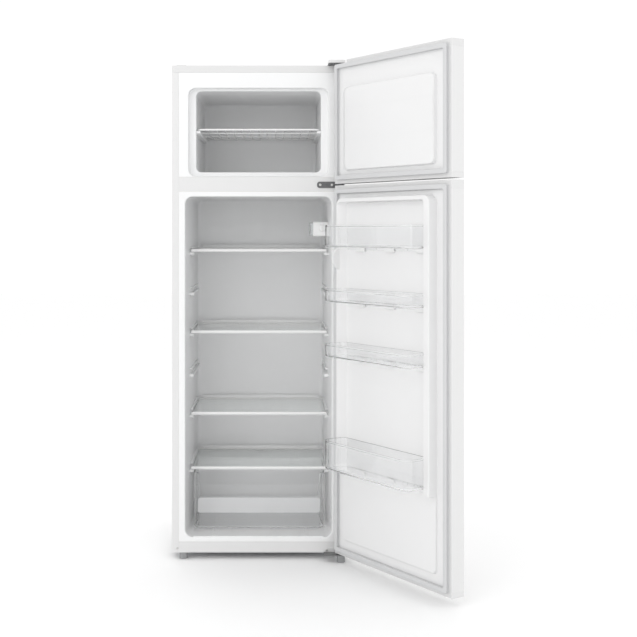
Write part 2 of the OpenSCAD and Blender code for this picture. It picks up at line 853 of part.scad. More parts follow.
module shelf_glass(z) {
    color(glass)
        z_prism(rrect(-shelf_x + 3, shelf_x - 3, shelf_y0 + 3, shelf_y1 - 3, 4), [z - 2, z + 2]);
}

module shelf_trims(z) {
    front = concat([[shelf_y0 + 12, z + trim_h / 2], [shelf_y0 + 2, z + trim_h / 2]],
        arc([shelf_y0 + 3, z], 3, 120, 240, 4),
        [[shelf_y0 + 2, z - trim_h / 2], [shelf_y0 + 12, z - trim_h / 2]]);
    color(white)
        difference() {
            union() {
                x_prism(front, [-shelf_x, shelf_x]);
                box([-shelf_x, shelf_x], [shelf_y1 - 12, shelf_y1], [z - trim_h / 2, z + trim_h / 2]);
                box([-shelf_x + 16, shelf_x - 16], [shelf_y1 - 3, shelf_y1], [z, z + 14]);
            }
            z_prism(rrect(-shelf_x + 2.9, shelf_x - 2.9, shelf_y0 + 2.9, shelf_y1 - 2.9, 4),
                [z - 2.1, z + 2.1]);
        }
}

module crisper_drawer() {
    x = rail_in_x - 1;
    y0 = front_y + 95;
    y1 = hump_y - 3;
    z0 = fr_z0 + lip_h + 0.5;
    z1 = cover_z - 13;
    low_z = 178;
    band_z = [125, 173];
    notch = concat([[-x + 16, z1 + 1]], arc([-x + 28, low_z + 12], 12, 180, 270),
        arc([x - 28, low_z + 12], 12, 270, 360), [[x - 16, z1 + 1]]);
    color(clear)
        difference() {
            union() {
                z_prism(rrect(-x, x, y0, y1, 14), [z0, z1]);
                z_prism(rrect(-x + 10, x - 10, y0 - 2.4, y0 + 20, 8), band_z);
            }
            z_prism(rrect(-x + clear_t, x - clear_t, y0 + clear_t, y1 - clear_t, 12),
                [z0 + clear_t, z1 + 1]);
            y_prism(notch, [y0 - 5, y0 + 12]);
        }
}

// ---------- doors ----------
module door_skin(z) {
    color(white)
        difference() {
            z_prism(door_outline(0), z);
            z_prism(door_outline(sheet), [z[0] - 1, z[1] + 1]);
            box([-side_x + skin_return, side_x - skin_return], [door_y1 - 3, door_y1 + 1],
                [z[0] - 1, z[1] + 1]);
        }
}

// The recess for the fingers in an end cap, open towards the gap between the doors
module grip_pocket(z, i) {
    y_prism(rrect(grip_x[0] - i, grip_x[1] + i, z[0] - i, z[1] + i, 5), [grip_y[0] - i, grip_y[1] + i]);
}

module cap_shell(z, inner_side) {
    hollow = inner_side > 0 ? [z[0] + cap_t, z[1] + 1] : [z[0] - 1, z[1] - cap_t];
    plate = inner_side > 0 ? [z[0], z[0] + bush_len + 1] : [z[1] - bush_len - 1, z[1]];
    difference() {
        union() {
            difference() {
                z_prism(door_outline(0), z);
                z_prism(door_outline(cap_t - 0.6), hollow);
            }
            translate([axis_x, axis_y, plate[0]])
                cylinder(h = plate[1] - plate[0], r = boss_r, $fn = round_fn);
        }
        translate([axis_x, axis_y, plate[0] - 1])
            cylinder(h = plate[1] - plate[0] + 2, r = bush_r, $fn = round_fn);
    }
}

module door_bush(face_z, up) {
    color(grey)
        translate([axis_x, axis_y, face_z])
            mirror([0, 0, up ? 0 : 1])
                difference() {
                    union() {
                        cylinder(h = bush_len, r = bush_r, $fn = round_fn);
                        translate([0, 0, -1])
                            cylinder(h = 1, r = bush_r + 2, $fn = round_fn);
                    }
                    translate([0, 0, -2])
                        cylinder(h = bush_len + 4, r = pin_r + running, $fn = round_fn);
                }
}

module gasket_ring(z, inset, width, w) {
    outer = gasket_in + inset;
    inner = outer + width;
    difference() {
        y_prism(rrect(-side_x + outer, side_x - outer, z[0] + outer, z[1] - outer, 6),
            [door_y1 + w[0], door_y1 + w[1]]);
        y_prism(rrect(-side_x + inner, side_x - inner, z[0] + inner, z[1] - inner, 4),
            [door_y1 + w[0] - 1, door_y1 + w[1] + 1]);
    }
}

module door_gasket(z) {
    color(grey) {
        gasket_ring(z, 0, gasket_w, [0, 3]);
        gasket_ring(z, 2.5, gasket_w - 5, [2.9, gasket_h - 3.4]);
        gasket_ring(z, 1, gasket_w - 2, [gasket_h - 3.5, gasket_h]);
    }
}

// Plain filling of a door between its two end plates, up to the liner's back
module door_filling(z) {
    difference() {
        z_prism(door_outline(cap_t - 0.3), z);
        box([-side_x, side_x], [door_y1 - liner_t - foam_gap, door_y1 + 1], [z[0] - 1, z[1] + 1]);
    }
}

// ----- freezer door -----
module freezer_plateau(i) {
    u = plateau_u;
    z = [plateau_z[0] + i, plateau_z[1] - i];
    plan = [door_point(u[0] + i, -2 * i), door_point(u[1] + i, plateau_h - i),
        door_point(u[2] - i, plateau_h - i), door_point(u[3] - i, -2 * i)];
    intersection() {
        z_prism(plan, z);
        y_prism(rrect(axis_x - u[3] + i, axis_x - u[0] - i, z[0], z[1], plateau_r),
            [door_y1 - 10, door_y1 + 20]);
    }
}

module freezer_door_skin() {
    door_pose()
        door_skin(fz_skin_z);
}

module freezer_door_foam() {
    color(foam_cream)
        door_pose()
            difference() {
                union() {
                    door_filling([freezer_door_z[0] + cap_t + 0.3, fz_hinge_top_z - cap_t - 0.3]);
                    freezer_plateau(liner_t + foam_gap);
                }
                grip_pocket(fz_grip_z, cap_t + 0.3);
                for (z = [freezer_door_z[0], fz_hinge_top_z - bush_len - 2])
                    translate([axis_x, axis_y, z - 1])
                        cylinder(h = bush_len + 4, r = boss_r + 0.3, $fn = round_fn);
            }
}

module freezer_door_liner() {
    color(inner_white)
        door_pose()
            difference() {
                union() {
                    box([-side_x + skin_return + 0.3, side_x - skin_return - 0.3],
                        [door_y1 - liner_t, door_y1], [fz_skin_z[0] + 0.3, fz_skin_z[1] - 0.3]);
                    freezer_plateau(0);
                }
                freezer_plateau(liner_t);
                for (z = crease_z)
                    box([axis_x - 440, axis_x - 80], [door_y1 + plateau_h - 0.5, door_y1 + 20],
                        [z - 1, z + 1]);
            }
}

module freezer_door_gasket() {
    door_pose()
        door_gasket(freezer_door_z);
}

module freezer_door_caps() {
    color(white)
        door_pose() {
            difference() {
                union() {
                    cap_shell([freezer_door_z[0], fz_skin_z[0]], 1);
                    intersection() {
                        grip_pocket(fz_grip_z, cap_t);
                        z_prism(door_outline(1), [freezer_door_z[0], fz_skin_z[0]]);
                    }
                }
                grip_pocket(fz_grip_z, 0);
            }
            cap_shell([fz_skin_z[1], fz_hinge_top_z], -1);
            difference() {
                z_prism(door_outline(0), [fz_hinge_top_z - 0.1, freezer_door_z[1]]);
                z_prism(door_outline(cap_t), [fz_hinge_top_z - 1, freezer_door_z[1] - cap_t]);
                box([crown_x, side_x + 1], [door_y0 - 1, door_y1 + 1], [fz_hinge_top_z - 1, top_z + 20]);
            }
            box([crown_x - cap_t, crown_x], [door_y0 + 1, door_y1 - 1],
                [fz_hinge_top_z - 0.1, freezer_door_z[1] - 1]);
        }
}

module freezer_door_bushes() {
    door_pose() {
        door_bush(freezer_door_z[0], true);
        door_bush(fz_hinge_top_z, false);
    }
}

// ----- fridge door -----
module fridge_dyke(i) {
    u = dyke_u;
    plan = [door_point(u[0] + i, -2 * i), door_point(u[1] + i, 12), door_point(u[1] + i, dyke_h - i),
        door_point(u[2] - i, dyke_h - i), door_point(u[3] - i, -2 * i)];
    head = window_u[0] - 1.3 * i;
    foot = window_u[1] - 1.3 * i;
    edge = window_u[2] + i;
    window = [door_point(head, dyke_h + 3), door_point(head, dyke_h - i), door_point(foot, window_w - i),
        door_point(edge, window_w - i), door_point(edge, dyke_h + 3)];
    difference() {
        intersection() {
            z_prism(plan, [dyke_z[0] + i, dyke_z[1] - i]);
            y_prism(rrect(axis_x - u[3] + i, axis_x - u[0] - i, dyke_z[0] - 40, dyke_z[1] - i, dyke_r),
                [door_y1 - 10, door_y1 + 40]);
        }
        intersection() {
            z_prism(window, [dyke_z[0] - 20, window_z1 + i]);
            y_prism(rrect(axis_x - u[2] + 6, axis_x - u[0], dyke_z[0] - 40, window_z1 + i, 8),
                [door_y1 - 10, door_y1 + 40]);
        }
    }
    y_prism(rrect(axis_x - u[3] + i, axis_x - panel_u0 - i, panel_z[0] + i, panel_z[1] - i, 14),
        [door_y1 - 2 * i, door_y1 + panel_w - i]);
    intersection() {
        translate([axis_x - 42 + i, door_y1 + ear_top_w - ear_r, ear_z])
            rotate([0, 90, 0])
                cylinder(h = 8 - 2 * i, r = ear_r - i, $fn = 64);
        box([-side_x, side_x], [door_y1 + window_w - i, door_y1 + 60], [0, top_z]);
    }
}

module bin_hooks() {
    for (z = bin_z, x = hook_x) {
        width = [x - hook_w / 2, x + hook_w / 2];
        reach = [door_y1 + window_w - 0.3, door_y1 + 12.5];
        box(width, reach, [z - 14, z - bin_skirt - 0.6]);
        box(width, [door_y1 + 9.1, reach[1]], [z - 14, z - 1.5]);
    }
}

module fridge_door_skin() {
    door_pose()
        door_skin(fr_skin_z);
}

module fridge_door_foam() {
    color(foam_cream)
        door_pose()
            difference() {
                union() {
                    door_filling([fridge_door_z[0] + cap_t + 0.3, fridge_door_z[1] - cap_t - 0.3]);
                    fridge_dyke(liner_t + foam_gap);
                }
                grip_pocket(fr_grip_z, cap_t + 0.3);
                for (z = [fridge_door_z[0], fridge_door_z[1] - bush_len - 2])
                    translate([axis_x, axis_y, z - 1])
                        cylinder(h = bush_len + 4, r = boss_r + 0.3, $fn = round_fn);
            }
}

module fridge_door_liner() {
    color(inner_white)
        door_pose() {
            difference() {
                union() {
                    box([-side_x + skin_return + 0.3, side_x - skin_return - 0.3],
                        [door_y1 - liner_t, door_y1], [fr_skin_z[0] + 0.3, fr_skin_z[1] - 0.3]);
                    fridge_dyke(0);
                }
                fridge_dyke(liner_t);
            }
            bin_hooks();
        }
}

module fridge_door_gasket() {
    door_pose()
        door_gasket(fridge_door_z);
}

module fridge_door_caps() {
    color(white)
        door_pose() {
            cap_shell([fridge_door_z[0], fr_skin_z[0]], 1);
            difference() {
                union() {
                    cap_shell([fr_skin_z[1], fridge_door_z[1]], -1);
                    intersection() {
                        grip_pocket(fr_grip_z, cap_t);
                        z_prism(door_outline(1), [fr_skin_z[1], fridge_door_z[1]]);
                    }
                }
                grip_pocket(fr_grip_z, 0);
            }
        }
}

module fridge_door_bushes() {
    door_pose() {
        door_bush(fridge_door_z[0], true);
        door_bush(fridge_door_z[1], false);
    }
}

// Plan of a bin, inset by i from its outer wall
function bin_plan(i) = let (r = 26, back = 14, u0 = bin_u[0] + i, u1 = bin_u[1] - i,
        w0 = bin_back_w + i, w1 = bin_depth - i, k = i * 0.4)
    concat([for (p = arc([u1 - r + i, w1 - r + i], r - i, 0, 90)) door_point(p[0], p[1])],
        [for (p = arc([u0 + r - i, w1 - r + i], r - i, 90, 180)) door_point(p[0], p[1])],
        [door_point(u0, w0 + back + k), door_point(u0 + back + k, w0), door_point(u1 - back - k, w0),
        door_point(u1, w0 + back + k)]);

module door_bin(n) {
    z = [bin_z[n], bin_z[n] + bin_h[n]];
    color(clear)
        door_pose() {
            difference() {
                z_prism(bin_plan(0), z);
                z_prism(bin_plan(clear_t), [z[0] + clear_t, z[1] - 4]);
                z_prism(bin_plan(clear_t + 1.6), [z[1] - 5, z[1] + 1]);
            }
            box([axis_x - bin_u[1] + 20, axis_x - bin_u[0] - 20],
                [door_y1 + bin_back_w, door_y1 + bin_back_w + 2.2], [z[0] - bin_skirt, z[0] + 1]);
        }
}

// ---------- one line for each node ----------
side_panel_left();
side_panel_right();
top_cover();
back_panel();
mullion_cover();
bottom_rail();
body_foam();
freezer_liner();
fridge_liner();
foamed_pipework();
compressor_base();
compressor();
compressor_grommets();
start_relay_cover();
evaporation_tray();
compressor_pipes();
filter_drier();
drain_tube();
cord_gland();
top_hinge();
middle_hinge();
bottom_hinge();
pivot_pins();
fasteners();
top_hinge_cover();
hole_plugs();
control_housing();
lamp_lens();
lamp_board();
thermostat_knob();
left_foot();
right_foot();
roller(-1);  // left_roller
roller(1);  // right_roller
freezer_shelf();
shelf_glass(shelf_zs[0]);  // upper_shelf_glass
shelf_trims(shelf_zs[0]);  // upper_shelf_trims
shelf_glass(shelf_zs[1]);  // middle_shelf_glass
shelf_trims(shelf_zs[1]);  // middle_shelf_trims
shelf_glass(shelf_zs[2]);  // lower_shelf_glass
shelf_trims(shelf_zs[2]);  // lower_shelf_trims
shelf_glass(cover_z);  // crisper_cover_glass
shelf_trims(cover_z);  // crisper_cover_trims
crisper_drawer();
freezer_door_skin();
freezer_door_foam();
freezer_door_liner();
freezer_door_gasket();
freezer_door_caps();
freezer_door_bushes();
fridge_door_skin();
fridge_door_foam();
fridge_door_liner();
fridge_door_gasket();
fridge_door_caps();
fridge_door_bushes();
door_bin(0);  // door_bin_1
door_bin(1);  // door_bin_2
door_bin(2);  // door_bin_3
door_bin(3);  // door_bin_4
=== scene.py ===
"""Top-freezer refrigerator with both doors standing open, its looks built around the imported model."""

import json
import logging
import math
from dataclasses import dataclass, field
from enum import Enum
from typing import Iterable, Sequence

import bmesh
import bpy
from mathutils import Matrix, Vector


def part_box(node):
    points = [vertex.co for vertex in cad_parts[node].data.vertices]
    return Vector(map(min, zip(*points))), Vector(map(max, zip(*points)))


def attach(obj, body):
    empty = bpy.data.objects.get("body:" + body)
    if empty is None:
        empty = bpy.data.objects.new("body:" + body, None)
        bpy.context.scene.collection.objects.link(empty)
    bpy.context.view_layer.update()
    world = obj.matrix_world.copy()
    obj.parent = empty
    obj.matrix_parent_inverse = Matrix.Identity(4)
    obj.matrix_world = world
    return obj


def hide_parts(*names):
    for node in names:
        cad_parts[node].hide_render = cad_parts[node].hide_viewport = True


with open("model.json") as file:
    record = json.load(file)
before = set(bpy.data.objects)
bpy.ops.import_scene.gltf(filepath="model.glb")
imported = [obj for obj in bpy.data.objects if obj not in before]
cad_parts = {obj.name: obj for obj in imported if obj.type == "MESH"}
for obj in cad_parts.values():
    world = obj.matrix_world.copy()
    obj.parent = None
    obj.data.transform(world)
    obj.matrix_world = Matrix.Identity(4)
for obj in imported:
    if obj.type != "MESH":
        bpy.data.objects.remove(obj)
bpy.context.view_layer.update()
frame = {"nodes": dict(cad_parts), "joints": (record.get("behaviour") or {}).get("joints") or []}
MM = 0.001
UP = Vector((0, 0, 1))
DOOR_FACE = -262 * MM
DUST_COLOUR = (0.62, 0.60, 0.57)
log = logging.getLogger("refrigerator")

Point = tuple[float, float]
Ring = list[Vector]
Colour = tuple[float, float, float]
Spot = tuple[float, float, float]


# ---------------------------------------------------------------- outlines and paths
class Axis(Enum):
    """Direction in which an outline is extruded."""

    X = 0
    Y = 1
    Z = 2

    def point(self, a: float, b: float, along: float) -> Vector:
        """Puts a point of an outline into space.

        Args:
            a: Its first coordinate.
            b: Its second coordinate.
            along: Its distance along the axis.

        Returns:
            The point.
        """
        spots = {Axis.X: (along, a, b), Axis.Y: (a, along, b), Axis.Z: (a, b, along)}
        return Vector(spots[self])


def scaled(*points: Point) -> list[Point]:
    """Turns points in millimetres into metres."""
    return [(a * MM, b * MM) for a, b in points]


def quarter(step: int) -> list[Point]:
    """Sines, and what the cosines lack to one, along a quarter turn.

    Args:
        step: Degrees between the points.

    Returns:
        A pair for each point, from the start of the turn.
    """
    turns = [math.radians(a) for a in range(0, 91, step)]
    return [(math.sin(t), 1 - math.cos(t)) for t in turns]


def arc(centre: Point, radius: float, start: float, end: float, steps: int = 6) -> list[Point]:
    """Points on a circle.

    Args:
        centre: Middle of the circle.
        radius: Its radius.
        start: First angle in degrees.
        end: Last angle in degrees.
        steps: Number of stretches between the points.

    Returns:
        The steps + 1 points, in order.
    """
    turns = [math.radians(start + (end - start) * i / steps) for i in range(steps + 1)]
    return [(centre[0] + radius * math.cos(t), centre[1] + radius * math.sin(t)) for t in turns]


def rounded(x: Point, y: Point, radius: float, steps: int = 6) -> list[Point]:
    """Rounded rectangle, anticlockwise.

    Args:
        x: Lowest and highest value across.
        y: Lowest and highest value up.
        radius: Corner radius.
        steps: Stretches in each corner.

    Returns:
        Its 4 * (steps + 1) points.
    """
    points: list[Point] = []
    corners = ((x[1], y[1], -1, -1), (x[0], y[1], 1, -1), (x[0], y[0], 1, 1), (x[1], y[0], -1, 1))
    for turn, (cx, cy, sx, sy) in enumerate(corners):
        centre = (cx + sx * radius, cy + sy * radius)
        points += arc(centre, radius, turn * 90, turn * 90 + 90, steps)
    return points


def bent(points: Sequence[Vector], radius: float, steps: int = 6) -> list[Vector]:
    """Rounds the corners of a path, as a bent pipe or wire has them.

    Args:
        points: Corner points of the path.
        radius: Largest bend radius.
        steps: Stretches in each bend.

    Returns:
        The path with an arc in place of each corner.
    """
    path = [points[0]]
    for before, corner, after in zip(points, points[1:], points[2:]):
        into, out = (before - corner), (after - corner)
        reach = min(radius, into.length / 2, out.length / 2)
        start, end = corner + into.normalized() * reach, corner + out.normalized() * reach
        for i in range(steps + 1):
            t = i / steps
            path.append(start * (1 - t) ** 2 + corner * 2 * t * (1 - t) + end * t**2)
    path.append(points[-1])
    return path


# ---------------------------------------------------------------- shader node groups
class Socket(Enum):
    """Kinds of socket on the node groups."""

    VALUE = "NodeSocketFloat"
    COLOUR = "NodeSocketColor"
    VECTOR = "NodeSocketVector"


def fill(node: bpy.types.Node, values: dict[str, object]) -> None:
    """Sets the values of a node's named inputs."""
    for label, value in values.items():
        node.inputs[label].default_value = value


def combine(tree: bpy.types.NodeTree, operation: str, first: object, second: object) -> bpy.types.NodeSocket:
    """Adds a math node.

    Args:
        tree: The tree that it is added to.
        operation: Name of the operation.
        first: Its first operand, a socket or a number.
        second: Its second operand, a socket or a number.

    Returns:
        Its output.
    """
    node = tree.nodes.new("ShaderNodeMath")
    node.operation = operation
    for slot, operand in enumerate((first, second)):
        if isinstance(operand, (int, float)):
            node.inputs[slot].default_value = operand
        else:
            tree.links.new(operand, node.inputs[slot])
    return node.outputs[0]


def noise(
    tree: bpy.types.NodeTree, scale: bpy.types.NodeSocket, values: dict[str, object]
) -> bpy.types.NodeSocket:
    """Adds noise in the object's own space.

    Args:
        tree: The tree that it is added to.
        scale: What gives its scale.
        values: Values of its other inputs.

    Returns:
        Its strength from 0 to 1.
    """
    node = tree.nodes.new("ShaderNodeTexNoise")
    fill(node, values)
    place = tree.nodes.new("ShaderNodeTexCoord").outputs["Object"]
    tree.links.new(place, node.inputs["Vector"])
    tree.links.new(scale, node.inputs["Scale"])
    return node.outputs[0]


class NodeGroups:
    """Effects that several materials share, each built once as a node group."""

    _made: dict[str, bpy.types.NodeTree] = {}

    @classmethod
    def get(cls, name: str) -> bpy.types.NodeTree:
        """Builds a group the first time.

        Args:
            name: Name of the group.

        Returns:
            The group's tree.
        """
        if name not in cls._made:
            cls._made[name] = getattr(cls, "_" + name)()
        return cls._made[name]

    @classmethod
    def place(cls, tree: bpy.types.NodeTree, name: str, values: dict[str, object]) -> bpy.types.Node:
        """Places a shared group in a material.

        Args:
            tree: The material's tree.
            name: Name of the group.
            values: The material's own values for its inputs.

        Returns:
            The group's node.
        """
        node = tree.nodes.new("ShaderNodeGroup")
        node.node_tree = cls.get(name)
        fill(node, values)
        return node

    @staticmethod
    def _start(
        name: str, inputs: dict[str, tuple[Socket, object]], outputs: dict[str, Socket]
    ) -> tuple[bpy.types.NodeTree, dict[str, bpy.types.NodeSocket], bpy.types.Node]:
        """Makes an empty group with its sockets.

        Args:
            name: Name of the group.
            inputs: Kind and default of each input.
            outputs: Kind of each output.

        Returns:
            The tree, the sockets that its inputs come from and its output node.
        """
        tree = bpy.data.node_groups.new(name, "ShaderNodeTree")
        for label, (kind, default) in inputs.items():
            socket = tree.interface.new_socket(label, in_out="INPUT", socket_type=kind.value)
            socket.default_value = default
        for label, kind in outputs.items():
            tree.interface.new_socket(label, in_out="OUTPUT", socket_type=kind.value)
        given = tree.nodes.new("NodeGroupInput")
        return tree, {label: given.outputs[label] for label in inputs}, tree.nodes.new("NodeGroupOutput")

    @classmethod
    def _moulded_grain(cls) -> bpy.types.NodeTree:
        """Makes the fine pebbled skin of moulded plastic and sprayed enamel.

        Returns:
            A group that gives a height from 0 to 1.
        """
        tree, given, out = cls._start(
            "moulded_grain",
            {"Scale": (Socket.VALUE, 900.0), "Waviness": (Socket.VALUE, 0.3)},
            {"Height": Socket.VALUE},
        )
        fine = noise(tree, given["Scale"], {"Detail": 2.0})
        slow = noise(tree, combine(tree, "MULTIPLY", given["Scale"], 0.04), {})
        wave = combine(tree, "MULTIPLY", slow, given["Waviness"])
        tree.links.new(combine(tree, "ADD", fine, wave), out.inputs["Height"])
        return tree

    @classmethod
    def _hand_marks(cls) -> bpy.types.NodeTree:
        """Makes faint cloudy differences of tone and gloss, as wiping and handling leave them.

        Returns:
            A group that gives a colour and a roughness.
        """
        tree, given, out = cls._start(
            "hand_marks",
            {
                "Base": (Socket.COLOUR, (0.8, 0.8, 0.8, 1)),
                "Tint": (Socket.COLOUR, (0.7, 0.7, 0.7, 1)),
                "Scale": (Socket.VALUE, 6.0),
                "Amount": (Socket.VALUE, 0.3),
                "Gloss": (Socket.VALUE, 0.3),
                "Spread": (Socket.VALUE, 0.08),
            },
            {"Color": Socket.COLOUR, "Roughness": Socket.VALUE},
        )
        cloud = noise(tree, given["Scale"], {"Detail": 5.0, "Roughness": 0.62})
        smear_scale = combine(tree, "MULTIPLY", given["Scale"], 5.0)
        smear = noise(tree, smear_scale, {"Detail": 3.0, "Distortion": 1.2})
        mix = tree.nodes.new("ShaderNodeMix")
        mix.data_type = "RGBA"
        tree.links.new(combine(tree, "MULTIPLY", cloud, given["Amount"]), mix.inputs[0])
        tree.links.new(given["Base"], mix.inputs[6])
        tree.links.new(given["Tint"], mix.inputs[7])
        tree.links.new(mix.outputs[2], out.inputs["Color"])
        swing = combine(tree, "MULTIPLY", combine(tree, "SUBTRACT", smear, 0.5), given["Spread"])
        tree.links.new(combine(tree, "ADD", swing, given["Gloss"]), out.inputs["Roughness"])
        return tree

    @classmethod
    def _edge_wear(cls) -> bpy.types.NodeTree:
        """Makes the raised edges that rub bright or pale, broken up by noise.

        Returns:
            A group that gives a mask.
        """
        tree, given, out = cls._start(
            "edge_wear",
            {"Amount": (Socket.VALUE, 0.5), "Scale": (Socket.VALUE, 180.0)},
            {"Mask": Socket.VALUE},
        )
        edge = tree.nodes.new("ShaderNodeMapRange")
        fill(edge, {"From Min": 0.53, "From Max": 0.62})
        shape = tree.nodes.new("ShaderNodeNewGeometry").outputs["Pointiness"]
        tree.links.new(shape, edge.inputs["Value"])
        rough = noise(tree, given["Scale"], {"Detail": 4.0})
        mask = combine(tree, "MULTIPLY", edge.outputs["Result"], rough)
        tree.links.new(combine(tree, "MULTIPLY", mask, given["Amount"]), out.inputs["Mask"])
        return tree

    @classmethod
    def _settled_dust(cls) -> bpy.types.NodeTree:
        """Makes thin dust on faces that look upwards.

        Returns:
            A group that gives a mask.
        """
        tree, given, out = cls._start(
            "settled_dust",
            {"Amount": (Socket.VALUE, 0.3), "Scale": (Socket.VALUE, 40.0)},
            {"Mask": Socket.VALUE},
        )
        up = tree.nodes.new("ShaderNodeSeparateXYZ")
        tree.links.new(tree.nodes.new("ShaderNodeNewGeometry").outputs["Normal"], up.inputs[0])
        level = combine(tree, "MAXIMUM", up.outputs["Z"], 0.0)
        mask = combine(tree, "MULTIPLY", level, noise(tree, given["Scale"], {"Detail": 6.0}))
        tree.links.new(combine(tree, "MULTIPLY", mask, given["Amount"]), out.inputs["Mask"])
        return tree

    @classmethod
    def _drawn_lines(cls) -> bpy.types.NodeTree:
        """Makes fine lines along one direction, as rolling, drawing and brushing leave them.

        Returns:
            A group that gives a height.
        """
        tree, given, out = cls._start(
            "drawn_lines",
            {"Stretch": (Socket.VECTOR, (60.0, 60.0, 2400.0)), "Contrast": (Socket.VALUE, 1.0)},
            {"Height": Socket.VALUE},
        )
        scale = tree.nodes.new("ShaderNodeVectorMath")
        scale.operation = "MULTIPLY"
        tree.links.new(tree.nodes.new("ShaderNodeTexCoord").outputs["Object"], scale.inputs[0])
        tree.links.new(given["Stretch"], scale.inputs[1])
        lines = tree.nodes.new("ShaderNodeTexNoise")
        fill(lines, {"Scale": 1.0, "Detail": 3.0})
        tree.links.new(scale.outputs[0], lines.inputs["Vector"])
        height = combine(tree, "MULTIPLY", lines.outputs[0], given["Contrast"])
        tree.links.new(height, out.inputs["Height"])
        return tree


# ---------------------------------------------------------------- finishes
FINISHES: dict[str, bpy.types.Material] = {}


class Texture(Enum):
    """Fine relief of a surface."""

    GRAIN = "moulded_grain"
    LINES = "drawn_lines"


def start_material(name: str) -> tuple[bpy.types.Material, bpy.types.NodeTree, bpy.types.Node]:
    """Makes a material and keeps it in the list of finishes.

    Args:
        name: Name of the finish.

    Returns:
        The material, its tree and its shader.
    """
    made = FINISHES[name] = bpy.data.materials.new(f"look_{name}")
    made.use_nodes = True
    return made, made.node_tree, made.node_tree.nodes["Principled BSDF"]


def add_surface(
    tree: bpy.types.NodeTree,
    shader: bpy.types.Node,
    colour: bpy.types.NodeSocket,
    gloss: bpy.types.NodeSocket,
    height: bpy.types.NodeSocket,
    relief: float,
) -> None:
    """Links what changes over a surface to its shader.

    Args:
        tree: The material's tree.
        shader: Its shader.
        colour: What gives the base colour.
        gloss: What gives the roughness.
        height: What gives the height of the relief.
        relief: Depth of the relief.
    """
    tree.links.new(colour, shader.inputs["Base Color"])
    tree.links.new(gloss, shader.inputs["Roughness"])
    bump = tree.nodes.new("ShaderNodeBump")
    bump.inputs["Distance"].default_value = relief
    tree.links.new(height, bump.inputs["Height"])
    tree.links.new(bump.outputs["Normal"], shader.inputs["Normal"])


@dataclass(frozen=True)
class Finish:
    """An opaque finish, with its tone, gloss, relief, wear and dust."""

    name: str
    colour: Colour
    tint: Colour
    gloss: float
    spread: float = 0.08
    metallic: float = 0.0
    coat: float = 0.0
    coat_gloss: float = 0.12
    mark_scale: float = 6.0
    mark_amount: float = 0.35
    texture: Texture = Texture.GRAIN
    grain_scale: float = 900.0
    relief: float = 0.02 * MM
    stretch: Colour = (60.0, 60.0, 2400.0)
    wear: float = 0.0
    worn_colour: Colour = (0.75, 0.75, 0.76)
    dust: float = 0.1
    spangle: float = 0.0
    spangle_scale: float = 70.0

    def material(self) -> bpy.types.Material:
        """Builds the material the first time.

        Returns:
            The material.
        """
        if self.name in FINISHES:
            return FINISHES[self.name]
        made, tree, shader = start_material(self.name)
        fill(shader, {"Metallic": self.metallic, "Coat Weight": self.coat, "Coat Roughness": self.coat_gloss})
        tones = {"Base": (*self.colour, 1), "Tint": (*self.tint, 1), "Scale": self.mark_scale,
                 "Amount": self.mark_amount, "Gloss": self.gloss, "Spread": self.spread}
        marks = NodeGroups.place(tree, "hand_marks", tones)
        colour = marks.outputs["Color"]
        if self.spangle:
            colour = self._spangled(tree, colour)
        if self.wear:
            worn = NodeGroups.place(tree, "edge_wear", {"Amount": self.wear})
            colour = self._mixed(tree, worn.outputs["Mask"], colour, self.worn_colour)
        if self.dust:
            dusty = NodeGroups.place(tree, "settled_dust", {"Amount": self.dust})
            colour = self._mixed(tree, dusty.outputs["Mask"], colour, DUST_COLOUR)
        grained = self.texture is Texture.GRAIN
        size = {"Scale": self.grain_scale} if grained else {"Stretch": self.stretch}
        height = NodeGroups.place(tree, self.texture.value, size).outputs["Height"]
        add_surface(tree, shader, colour, marks.outputs["Roughness"], height, self.relief)
        return made

    @staticmethod
    def _mixed(
        tree: bpy.types.NodeTree,
        mask: bpy.types.NodeSocket,
        below: bpy.types.NodeSocket,
        above: Colour,
    ) -> bpy.types.NodeSocket:
        """Lays a plain colour over another where a mask says so.

        Args:
            tree: The material's tree.
            mask: Where the plain colour shows.
            below: The colour under it.
            above: The plain colour.

        Returns:
            The mixed colour.
        """
        mix = tree.nodes.new("ShaderNodeMix")
        mix.data_type = "RGBA"
        tree.links.new(mask, mix.inputs[0])
        tree.links.new(below, mix.inputs[6])
        mix.inputs[7].default_value = (*above, 1)
        return mix.outputs[2]

    def _spangled(self, tree: bpy.types.NodeTree, colour: bpy.types.NodeSocket) -> bpy.types.NodeSocket:
        """Adds the crystal pattern of hot-dip zinc to a colour.

        Args:
            tree: The material's tree.
            colour: The colour under it.

        Returns:
            The mixed colour.
        """
        cells = tree.nodes.new("ShaderNodeTexVoronoi")
        cells.inputs["Scale"].default_value = self.spangle_scale
        place = tree.nodes.new("ShaderNodeTexCoord").outputs["Object"]
        tree.links.new(place, cells.inputs["Vector"])
        grey = tree.nodes.new("ShaderNodeSeparateColor")
        tree.links.new(cells.outputs["Color"], grey.inputs[0])
        mask = combine(tree, "MULTIPLY", grey.outputs[0], self.spangle)
        return self._mixed(tree, mask, colour, self.worn_colour)


